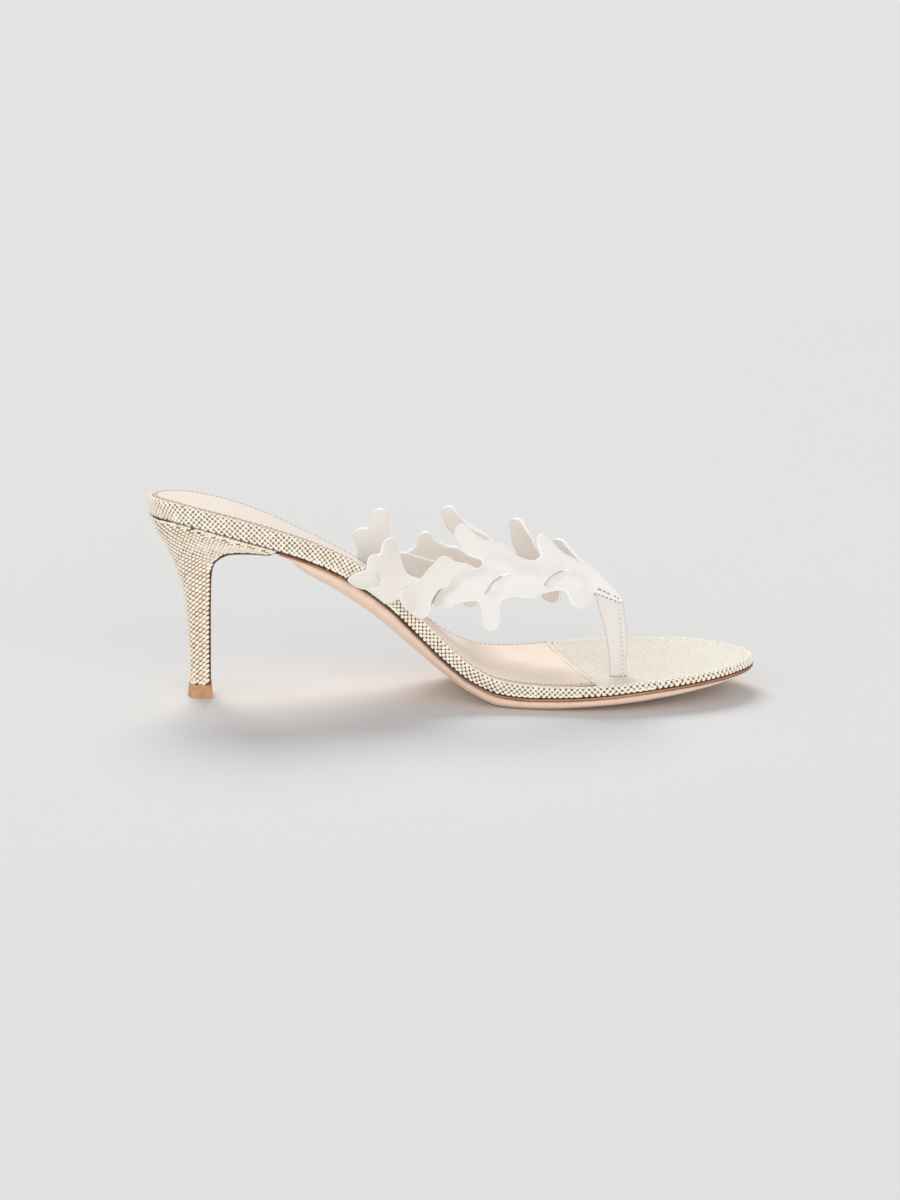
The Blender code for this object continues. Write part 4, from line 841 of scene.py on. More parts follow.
CREAM, CREAM_DEEP = srgb(255, 252, 241), srgb(246, 234, 213)
PEACH, PEACH_DEEP = srgb(255, 249, 236), srgb(247, 232, 212)
MAT = {
    "yarn": yarn_look("canvas_yarn", CREAM, CREAM_DEEP),
    "yarn_top": yarn_look("canvas_yarn_cover", srgb(252, 249, 242), srgb(243, 238, 227)),
    "yarn_heel": yarn_look("canvas_yarn_heel", PEACH, PEACH_DEEP),
    "shade": ground_look("strap_edge_shade", srgb(120, 106, 96), srgb(158, 146, 136)),
    "seam": ground_look("turned_under_seam_painted_shade", srgb(60, 42, 28), srgb(92, 68, 48), heel=srgb(158, 136, 110)),
    # canvas gap colours are painted shade between the yarns: dark brown on the rand and heel, paler on the cover where
    # light falls from above
    "ground": ground_look("canvas_gap_painted_shade", srgb(86, 66, 45), srgb(128, 104, 78)),
    "gap_top_painted_light": ground_look("canvas_gap_cover_painted_light", srgb(204, 190, 165), srgb(229, 218, 199), toe=srgb(240, 233, 217)),
    "gap_heel_painted_shade": ground_look("canvas_gap_heel_painted_shade", srgb(112, 88, 64), srgb(154, 128, 102)),
    "strap": strap_look("strap_leather", srgb(239, 235, 231), srgb(230, 224, 217), srgb(232, 229, 226), srgb(255, 255, 254)),
    "post": strap_look("post_leather", srgb(228, 223, 217), srgb(228, 223, 217), srgb(232, 229, 226), srgb(255, 255, 254)),
    "sock": sock_look("sock_leather", srgb(247, 235, 223), srgb(206, 184, 162)),
    "sole": sole_look("sole_leather", srgb(254, 225, 203)),
    "flap": flap_look("flap_leather", srgb(238, 208, 188)),
    "rubber": rubber_look("top_piece_rubber", srgb(210, 162, 123)),
    "thread": thread_look("thread", srgb(150, 128, 104), srgb(112, 90, 68)),
    "white_thread": thread_look("white_thread", srgb(250, 248, 244), srgb(232, 226, 218)),
    # dark marks at the post: painted shade of stitch holes and of the slot, partly dark thread in the rows across the
    # top
    "hole": thread_look("stitch_hole_painted_shade", srgb(104, 98, 95), srgb(66, 60, 58)),
}


# ---------------------------------------------------------------- footbed: cloth over the board
def board(x):
    return smooth(x, SECTIONS, "board")


def roll(turn, lift=0.0):
    """The rounded top edge of the rand: inset and height at a turn of 0 (on top) to 90 degrees (on the side)."""
    a = math.radians(turn)
    return (1.5 - (1.25 + lift) * math.sin(a), lambda x, y, d: footbed_edge(x, y) - 0.35 + lift - (1.2 + lift) * (1 - math.cos(a)))


def make_footbed():
    plan = Plan(HEEL_ANCHOR, TOE_ANCHOR, True, True)
    top = lambda x, y, d=0: footbed_top(x, y) - 0.18
    layers = [(13.0, top), (8.0, top), (4.0, top), (2.6, top), (1.9, top)]
    layers += [roll(a) for a in (0, 20, 40, 60, 78, 90)]
    for f, tuck in ((0.35, 0.35), (0.55, 0.6), (0.75, 0.85)):
        layers.append((0.22, lambda x, y, d, f=f: footbed_edge(x, y) - 1.5 - f * (board(x) - 2.0), tuck * HEEL_TUCK))
    layers += [
        (0.3, lambda x, y, d: seam(x, y) + 0.4, HEEL_TUCK),
        (0.6, lambda x, y, d: seam(x, y) + 0.08, HEEL_TUCK),
        (3.0, lambda x, y, d: seam(x, y) + 0.03),
        (8.0, lambda x, y, d: seam(x, y) + 0.03),
    ]
    body = sole_piece("footbed_cloth_painted_gap_shade", plan, layers, top, lambda x, y: seam(x, y) + 0.03, [MAT["ground"], MAT["gap_top_painted_light"]])
    mesh = body.data
    band = np.empty(len(mesh.vertices), np.float32)
    mesh.attributes["band"].data.foreach_get("value", band)
    # the seam value marks the lowest layers, painted darker as shade in the gap at the seam
    put_values(mesh, "seam", np.clip((band - 14.2) / 0.8, 0, 1))
    pick = [1 if max(band[v] for v in p.vertices) <= 4.1 and mesh.vertices[p.vertices[0]].co.z > -1 else 0 for p in mesh.polygons]
    mesh.polygons.foreach_set("material_index", np.array(pick, np.int32))
    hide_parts("footbed")

    # the rand's skin, from the lip beside the sock over the roll and down the side
    path = [(2.12, lambda x, y, d: footbed_edge(x, y) - 0.50, 0.0), (1.8, lambda x, y, d: footbed_edge(x, y) - 0.40, 0.0)]
    path += [(*roll(a, 0.02), 0.0) for a in range(0, 91, 10)]
    for f in np.linspace(0.1, 0.9, 9):
        path.append((0.20, lambda x, y, d, f=f: footbed_edge(x, y) - 1.55 - f * (board(x) - 2.0), f * HEEL_TUCK))
    path.append((0.28, lambda x, y, d: seam(x, y) + 0.42, HEEL_TUCK))
    path.append((0.5, lambda x, y, d: seam(x, y) + 0.15, HEEL_TUCK))
    grid = []
    for inset, height, tuck in path:
        ring = plan.ring(inset, tuck)
        ring = np.concatenate([ring, ring[:1]])
        grid.append(np.column_stack([ring, height(ring[:, 0], ring[:, 1], inset)]))
    skin = Skin(np.array(grid))
    middle = skin.grid[len(skin.grid) // 2]
    pitch = WEAVE_ROW + 0.17 * smoothstep(140.0, 180.0, middle[:, 0])
    heading = np.gradient(middle[:, 0], skin.run)
    lean = -math.radians(19) * np.clip(heading, -1, 1) * (1 - smoothstep(60.0, 105.0, middle[:, 0]))
    where = weave(skin, pitch, lean, 0.12, 9.4)
    found = skin.at(where[:, 0], where[:, 1])
    scale = np.interp(where[:, 0], skin.run, pitch) / 1.12
    cloth = yarns("rand_canvas", where, found, (0.86, 0.68, 0.42), MAT["yarn"], 45, scale=scale, spin=-np.interp(where[:, 0], skin.run, lean))

    # the dark line all round, where the cloth is turned under: a dark bead that is partly the turned-under cloth and
    # partly painted shade of the gap at the seam
    ring = plan.ring(0.07, HEEL_TUCK)
    ring = np.concatenate([ring, ring[:2]])
    line = np.column_stack([ring, seam(ring[:, 0], ring[:, 1]) + 0.06])
    tube("rand_seam_painted_shade", line, 0.21, MAT["seam"], taper=False)

    # the cover in front of the sock, with its yarns nearly straight across the shoe
    slant = math.radians(24.5)
    ix, iy = np.meshgrid(np.arange(-60, 61), np.arange(-60, 61), indexing="ij")
    ix, iy = ix.ravel(), iy.ravel()
    across, ahead = iy * 1.22 + 0.4 * (ix % 2), ix * COVER_ROW
    x = 186.0 + ahead * math.cos(slant) + across * math.sin(slant)
    y = across * math.cos(slant) - ahead * math.sin(slant)
    turn = np.zeros(len(x))
    rim = plan.ring(2.15)
    ok = inside_loops([rim], np.stack([x, y], 1)) & (x > SOCK_FRONT - SOCK_SKEW * y + 0.5)
    ok &= ~((x > 172.9) & (x < 177.6) & (y > -19.3) & (y < -17.7))
    x, y, turn = x[ok], y[ok], turn[ok]
    e = 0.5
    z = footbed_top(x, y) - 0.16
    nx = -(footbed_top(x + e, y) - footbed_top(x - e, y)) / (2 * e)
    ny = -(footbed_top(x, y + e) - footbed_top(x, y - e)) / (2 * e)
    normal = unit(np.stack([nx, ny, np.ones_like(nx)], 1))
    along = np.tile([math.sin(slant), math.cos(slant), 0.0], (len(x), 1))
    along = unit(along - normal * (along * normal).sum(1)[:, None])
    where = np.stack([x, y, turn], 1)
    cover = yarns("cover_canvas", where, (np.stack([x, y, z], 1), normal, along, np.ones(len(x), bool)), (0.64, 0.49, 0.27), MAT["yarn_top"], 0)
    return skin


# ---------------------------------------------------------------- sock
def make_sock():
    plan = Plan(HEEL_ANCHOR, SOCK_FRONT, True, False, trim=SOCK_INSET, skew=SOCK_SKEW, round_points=61, stations=120)
    low = lambda x, y, d=0: footbed_top(x, y) + GAP
    puff = lambda x, y: 0.12 * wobble(x, y, 3, 26.0)
    high = lambda x, y, d=0: footbed_top(x, y) + GAP + SOCK_THICK + puff(x, y)
    edge = lambda drop: (lambda x, y, d: high(x, y) - drop)
    layers = [(12.0, high), (6.0, high), (2.2, high), (0.75, edge(0.0)), (0.4, edge(0.06)), (0.14, edge(0.2)), (0.02, edge(0.42)), (0.05, edge(0.66)),
              (0.2, low), (4.0, low), (11.0, low)]
    sock = sole_piece("sock", plan, layers, high, low, [MAT["sock"]])
    mesh = sock.data
    mesh.set_sharp_from_angle(angle=math.radians(60))
    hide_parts("insole")

    # stitches round the sock, 1.4 mm in from its edge
    ring = plan.ring(1.35)
    order = np.concatenate([np.arange(plan.count, len(ring)), np.arange(0, plan.count)])   # lateral front, round the heel, medial front
    line = ring[order]
    front = []
    a, b = line[-1], line[0]
    for t in np.linspace(0, 1, 40)[1:-1]:
        front.append(a + (b - a) * t - np.array([1.2, 0.0]))
    line[-1] = line[-1] - np.array([1.2, 0.0])
    line[0] = line[0] - np.array([1.2, 0.0])
    closed = np.concatenate([line, np.array(front), line[:1]])
    run = np.concatenate([[0], np.cumsum(np.linalg.norm(np.diff(closed, axis=0), axis=1))])
    count = int(run[-1] / STITCH)
    at = (np.arange(count) + 0.5) * run[-1] / count
    x, y = np.interp(at, run, closed[:, 0]), np.interp(at, run, closed[:, 1])
    x2, y2 = np.interp(at + 0.3, run, closed[:, 0]), np.interp(at + 0.3, run, closed[:, 1])
    centre = np.stack([x, y, high(x, y) + 0.0], 1)
    along = unit(np.stack([x2 - x, y2 - y, high(x2, y2) - high(x, y)], 1))
    side = unit(np.cross(np.array([0.0, 0.0, 1.0]), along))
    normal = np.cross(along, side)
    points, faces, _ = domes(centre, normal, along, 0.62, 0.20, 0.15, 8)
    thread = put("sock_stitches", points, faces, [MAT["thread"]])
    return sock


# ---------------------------------------------------------------- outsole
def make_outsole():
    plan = Plan(SOLE_START, TOE_ANCHOR, False, True)
    upper_face = lambda x, y, d=0: seam(x, y) - GAP
    base = lambda drop: (lambda x, y, d: seam(x, y) - GAP - drop)
    below = lambda x, y, d: underside(x, y, d)
    # band: 0-4 top corner, 5-8 edge wall, 9-10 lower corner, then the underside
    layers = [(8.0, upper_face), (2.0, upper_face), (0.7, upper_face), (0.42, base(0.03)), (0.22, base(0.12)), (0.12, base(0.28)),
              (0.08, base(0.5)), (0.08, base(0.72)), (0.10, base(0.88)), (0.16, base(1.0)), (0.26, base(EDGE)),
              (0.5, below), (0.9, below), (1.5, below), (2.3, below), (3.3, below), (4.6, below), (6.4, below), (8.2, below), (10.0, below), (12.0, below)]
    sole = sole_piece("outsole_leather", plan, layers, upper_face, lambda x, y: underside(x, y, 99.0), [MAT["sole"]])
    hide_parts("outsole")
    return sole


def heel_slices(count):
    rows = len(HEEL["z"])
    at = np.linspace(0, rows - 1, count)
    column = {"x": np.arange(rows, dtype=float)}
    column.update(HEEL)
    slices = [{name: float(smooth(t, column, name)) for name in HEEL} for t in at]
    for t, one in zip(at, slices):
        one["follow"] = max(0.0, 1.0 - t / 2.1)
    return slices


def sideways(x, y):
    return seam(x, y) - seam(x, 0 * y)


def make_flap():
    """The outsole's leather, skived thin, down the breast of the heel."""
    slices = heel_slices(161)
    line = np.array([(s["front"], s["z"] + s["lean"] * (s["front"] - 25.0), 0.86 * s["half"], s["follow"]) for s in slices[8:]])
    ahead = np.gradient(line[:, :2], axis=0)
    normal = np.stack([-ahead[:, 1], ahead[:, 0]], 1)
    normal /= np.linalg.norm(normal, axis=1)[:, None]
    keep = [i for i in range(len(line)) if i % 2 == 0] + ([len(line) - 1] if (len(line) - 1) % 2 else [])
    line, normal = line[keep], normal[keep]
    x_in = np.array([62.0, 57.0, 53.0])
    mid = seam(x_in, 0 * x_in) - GAP - 0.75
    half = np.concatenate([[15.0, 17.0, 18.5], line[:, 2]])
    follow = np.concatenate([[1.0, 1.0, 1.0], line[:, 3]])
    # section: near face, rounded side, far face
    ring = [(-1, 0.0), (-0.6, 0.0), (-0.2, 0.0), (0.2, 0.0), (0.6, 0.0), (1, 0.0), (1, 0.35), (0.995, 0.75), (0.97, 0.95), (0.6, 1.0), (0.2, 1.0), (-0.2, 1.0), (-0.6, 1.0), (-0.97, 0.95), (-0.995, 0.75), (-1, 0.35)]
    rim = [1.0, 0, 0, 0, 0, 1.0, 1.0, 1.0, 0.35, 0, 0, 0, 0, 0.35, 1.0, 1.0]
    points, faces, marks = [], [], []
    total = len(half)
    for i in range(total):
        h, f = half[i], follow[i]
        for (t, depth), mark in zip(ring, rim):
            if i < 3:
                x, z = x_in[i], mid[i] + 0.3 - 0.6 * depth
            else:
                thicker = 1.0 + 0.95 * float(smoothstep(0.35, 0.85, -normal[i - 3, 1]) * smoothstep(3, 14, i))
                p = line[i - 3, :2] + normal[i - 3] * (FLAP_NEAR + FLAP_THICK * thicker * depth)
                x, z = p
            if i == total - 1:
                z = HEEL_FOOT + 0.15
            y = h * t
            points.append((x, y, z + f * float(sideways(np.array(x), np.array(y)))))
            marks.append(mark if i > 2 else 0.0)
    n = len(ring)
    for i in range(total - 1):
        for k in range(n):
            a, b = i * n + k, i * n + (k + 1) % n
            faces.append((a, b, b + n, a + n))
    faces += [tuple(range(n)), tuple(range((total - 1) * n, total * n))]
    flap = put("breast_flap", points, faces, [MAT["flap"]], attributes={"rim": marks})
    outward(flap)
    return flap


def make_heel():
    count, around, across = 150, 73, 12
    rings = []
    for k, s in enumerate(heel_slices(count)):
        angle = np.linspace(-math.pi / 2, math.pi / 2, around)
        power, shrink = s["full"], 0.28
        y = (s["half"] - shrink) * np.sign(np.sin(angle)) * np.abs(np.sin(angle)) ** power
        x = s["front"] - (s["front"] - s["back"] - shrink) * np.abs(np.cos(angle)) ** power
        x = np.concatenate([x, np.full(across, s["front"])])
        y = np.concatenate([y, np.linspace(s["half"] - shrink, shrink - s["half"], across + 2)[1:-1]])
        if k == 0:
            half = np.where(y < 0, smooth(x, SECTIONS, "medial"), smooth(x, SECTIONS, "lateral")) - 0.7
            y = np.clip(y, -half, half)
            z = seam(x, y) - HEEL_GAP
        else:
            z = s["z"] + s["lean"] * (x - 25.0) + s["follow"] * sideways(x, y)
            z = np.minimum(z, seam(x, y) - HEEL_GAP - 0.05 * k)
        rings.append(np.column_stack([x, y, z]))
    size = around + across
    grid = np.array(rings)
    middle_top = np.array([[20.0, 0.0, float(seam(np.array(20.0), np.array(0.0))) - HEEL_GAP - 0.1]])
    middle_low = np.array([[(s["front"] + s["back"]) / 2, 0.0, rings[-1][:, 2].mean()]])
    points = np.concatenate([grid.reshape(-1, 3), middle_top, middle_low])
    top, low = count * size, count * size + 1
    faces = []
    for i in range(size):
        j = (i + 1) % size
        faces += [(top, j, i), (low, (count - 1) * size + i, (count - 1) * size + j)]
        for k in range(count - 1):
            faces.append((k * size + i, k * size + j, (k + 1) * size + j, (k + 1) * size + i))
    heel = put("heel_cloth_painted_gap_shade", points, faces, [MAT["gap_heel_painted_shade"]], sharp=50)
    outward(heel)
    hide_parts("heel")

    # the cloth: upright lines of crossings, from the seam down to the top piece
    wrap = grid[:, :around][:, ::-1]
    where, found, scale = heel_spots(wrap)
    rings4 = ((0.50, 0.88), (0.86, 0.50), (1.0, -0.10), (1.0, -0.5))
    cloth = yarns("heel_canvas", where, found, (0.93, 0.58, 0.36), MAT["yarn_heel"], -43, rings=rings4, scale=scale)
    return heel


def heel_spots(grid):
    """Crossings in upright lines, set out from the plumb line over the breast, on each side of the heel's back."""
    step = np.linalg.norm(np.diff(grid, axis=0), axis=2)
    down = np.concatenate([np.zeros((1, grid.shape[1])), np.cumsum(step, axis=0)])
    side = grid.shape[1] // 4
    deep = (down[:, side] + down[:, -1 - side]) / 2
    index = np.arange(len(grid))
    found = []
    for line in range(-30, 40):
        for n in range(-2, 100):
            t = (n / 2 + (HEEL_SHEAR * line) % 1.0) * HEEL_STEP
            if not -0.42 < t < deep[-1] + 0.3:
                continue
            t = min(max(t, 0.64), deep[-1] - 0.35)
            f = float(np.interp(t, deep, index))
            k = min(int(f), len(grid) - 2)
            row = grid[k] * (1 - f + k) + grid[k + 1] * (f - k)
            room = (down[k + 1] - down[k]) / max(deep[k + 1] - deep[k], 1e-6)
            back = int(np.argmin(row[:, 0]))
            for half, near in ((row[back::-1], room[back::-1]), (row[back:], room[back:])):
                if len(half) < 2:
                    continue
                run = np.concatenate([[0], np.cumsum(np.linalg.norm(np.diff(half, axis=0), axis=1))])
                zero = np.interp(HEEL_PLUMB, half[:, 0], run) if half[-1, 0] > HEEL_PLUMB else run[-1] + HEEL_PLUMB - half[-1, 0]
                at = zero - line * HEEL_LINE + 0.20 * max(0.0, 17.0 - t)
                if not -0.45 < at < run[-1] + 0.25:
                    continue
                at = min(max(at, 0.16), run[-1] - 0.62)
                here = np.array([np.interp(at, run, half[:, c]) for c in range(3)])
                ahead = np.array([np.interp(at + 0.2, run, half[:, c]) for c in range(3)])
                space = float(np.interp(at, run, near))
                if (n % 2 and space < 1.28) or (space < 0.5 and n // 2 % 2):
                    continue
                if space >= 1.28:       # the back is longer than the sides: twice the rows there
                    space /= 2
                space = min(1.05 if at > 7 else 1.3, space * 2 if space < 0.5 else space)
                found.append([line, t, float(half[1, 1] > half[0, 1]), *here, *unit(ahead - here), 0.72 + 0.28 * space if space < 1 or at > 7 else space])
    found = np.array(found)
    point, along = found[:, 3:6], found[:, 6:9]
    normal = heel_normals(grid, point)
    turn = (np.cross(normal, along)[:, 2] < 0).astype(float)
    return np.column_stack([found[:, :2], turn]), (point, normal, along, np.ones(len(found), bool)), found[:, 9]


def heel_normals(grid, points):
    """Normals of the heel's grid at the grid points nearest to the given points."""
    du = np.gradient(grid, axis=1)
    dv = np.gradient(grid, axis=0)
    n = unit(np.cross(dv, du)).reshape(-1, 3)
    flat = grid.reshape(-1, 3)
    centre = np.array([21.5, 0.0, 0.0])
    flip = ((flat - centre) * n)[:, :2].sum(1) < 0
    n[flip] *= -1
    return np.array([n[np.argmin(((flat - p) ** 2).sum(1))] for p in points])


def make_top_piece():
    rings = []
    for z, grow in ((LIFT_HEIGHT, -0.3), (LIFT_HEIGHT, -0.12), (LIFT_HEIGHT - 0.06, 0.0), (LIFT_HEIGHT - 0.3, 0.12), (3.0, 0.22), (1.6, 0.34), (0.4, 0.46), (0.1, 0.42), (0.0, 0.3), (0.0, 0.05)):
        angle = np.linspace(-math.pi / 2, math.pi / 2, 65)
        half = 4.9 + grow
        back, front = 16.9 - grow, 25.2 + 0.5 * grow
        y = half * np.sign(np.sin(angle)) * np.abs(np.sin(angle)) ** 0.8
        x = front - (front - back) * np.abs(np.cos(angle)) ** 0.8
        ring = np.column_stack([x, y, np.full(65, z)])
        front_edge = np.column_stack([np.full(7, front), np.linspace(half, -half, 9)[1:-1], np.full(7, z)])
        rings.append(np.concatenate([ring, front_edge]))
    size = len(rings[0])
    points = np.concatenate(rings)
    faces = [tuple(range(size)), tuple(range(len(rings) * size - 1, (len(rings) - 1) * size - 1, -1))]
    for k in range(len(rings) - 1):
        for i in range(size):
            j = (i + 1) % size
            faces.append((k * size + i, k * size + j, (k + 1) * size + j, (k + 1) * size + i))
    piece = put("heel_top_piece", points, faces, [MAT["rubber"]], sharp=60)
    outward(piece)
    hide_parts("top_piece")
    return piece


# ---------------------------------------------------------------- straps
def branch_field(rows, x, z):
    """How far (x, z) is outside the smooth union of the branches; negative inside."""
    total = 0.0
    for x0, z0, r0, x1, z1, r1 in rows:
        dx, dz = x1 - x0, z1 - z0
        t = np.clip(((x - x0) * dx + (z - z0) * dz) / (dx * dx + dz * dz), 0, 1)
        away = np.hypot(x - x0 - t * dx, z - z0 - t * dz) - (r0 + (r1 - r0) * t)
        total = total + np.exp(-away / STRAP_BLEND)
    return -STRAP_BLEND * np.log(total)


def level_loops(f, xs, zs, level, spacing, least=3.0):
    """Loops of evenly spaced points where the gridded field f equals level."""
    f = f - level
    f = np.where(np.abs(f) < 1e-9, 1e-9, f)
    cell = xs[1] - xs[0]
    neg = f < 0
    code = neg[:-1, :-1].astype(int) + neg[1:, :-1] * 2 + neg[1:, 1:] * 4 + neg[:-1, 1:] * 8
    cut, link = {}, {}

    def crossing(i, j, axis):
        key = (i, j, axis)
        if key not in cut:
            a, b = f[i, j], (f[i + 1, j] if axis == 0 else f[i, j + 1])
            t = a / (a - b)
            cut[key] = (xs[i] + (t * cell if axis == 0 else 0), zs[j] + (t * cell if axis == 1 else 0))
        return key

    for i, j in zip(*np.nonzero((code > 0) & (code < 15))):
        corners = (neg[i, j], neg[i + 1, j], neg[i + 1, j + 1], neg[i, j + 1])
        sides = []
        if corners[0] != corners[1]:
            sides.append((crossing(i, j, 0), corners[0]))
        if corners[1] != corners[2]:
            sides.append((crossing(i + 1, j, 1), corners[1]))
        if corners[2] != corners[3]:
            sides.append((crossing(i, j + 1, 0), corners[2]))
        if corners[3] != corners[0]:
            sides.append((crossing(i, j, 1), corners[3]))
        starts = [k for k, was_in in sides if was_in]
        ends = [k for k, was_in in sides if not was_in]
        if len(starts) == 2:
            order = [k for k, _ in sides]
            for s in starts:
                link[s] = order[(order.index(s) + 1) % 4]
        else:
            link[starts[0]] = ends[0]
    loops = []
    while link:
        key, loop = next(iter(link)), []
        while key in link:
            loop.append(cut[key])
            key = link.pop(key)
        loop = np.array(loop)
        closed = np.vstack([loop, loop[:1]])
        run = np.concatenate([[0], np.cumsum(np.linalg.norm(np.diff(closed, axis=0), axis=1))])
        if run[-1] < least:
            continue
        at = np.linspace(0, run[-1], max(8, int(run[-1] / spacing)), endpoint=False)
        loops.append(np.stack([np.interp(at, run, closed[:, k]) for k in (0, 1)], 1))
    loops.sort(key=lambda l: -(np.ptp(l[:, 0]) + np.ptp(l[:, 1])))
    return loops


def arm_point(arm, x, z):
    return smooth(x, arm, "y") + smooth(x, arm, "lean") * (z - smooth(x, arm, "z"))


def arm_frame(arm, side, x, z):
    e = 0.05
    y = arm_point(arm, x, z)
    gx = (arm_point(arm, x + e, z) - arm_point(arm, x - e, z)) / (2 * e)
    gz = (arm_point(arm, x, z + e) - arm_point(arm, x, z - e)) / (2 * e)
    normal = side * np.stack([-gx, np.ones_like(gx), -gz], -1)
    return np.stack([x, y, z], -1), unit(normal)


class Slit:
    """A curved slit: distance across it (positive where the tongue comes out) and place along it, 0 to 1."""

    def __init__(self, points):
        p = np.array(points, float)
        ends = np.vstack([2 * p[0] - p[1], p, 2 * p[-1] - p[-2]])
        self.path = through(ends, 24)
        self.run = np.concatenate([[0], np.cumsum(np.linalg.norm(np.diff(self.path, axis=0), axis=1))])
        self.length = self.run[-1]

    def measure(self, x, z):
        best = np.full(np.shape(x), 1e9)
        across, place = np.zeros(np.shape(x)), np.zeros(np.shape(x))
        for k, (a, b) in enumerate(zip(self.path, self.path[1:])):
            d = b - a
            size = math.hypot(*d)
            t = np.clip(((x - a[0]) * d[0] + (z - a[1]) * d[1]) / size ** 2, 0, 1)
            ox, oz = x - a[0] - t * d[0], z - a[1] - t * d[1]
            away = np.hypot(ox, oz)
            sign = np.where(ox * d[1] - oz * d[0] >= 0, 1.0, -1.0)
            near = away < best
            best = np.where(near, away, best)
            across = np.where(near, away * sign, across)
            place = np.where(near, (self.run[k] + t * size) / self.length, place)
        return across, place, best


def rows_of(branches, *links):
    return [tuple(branches[c][i] for c in ("x0", "z0", "r0", "x1", "z1", "r1"))
            for i in np.flatnonzero(np.isin(branches["link"], links))]


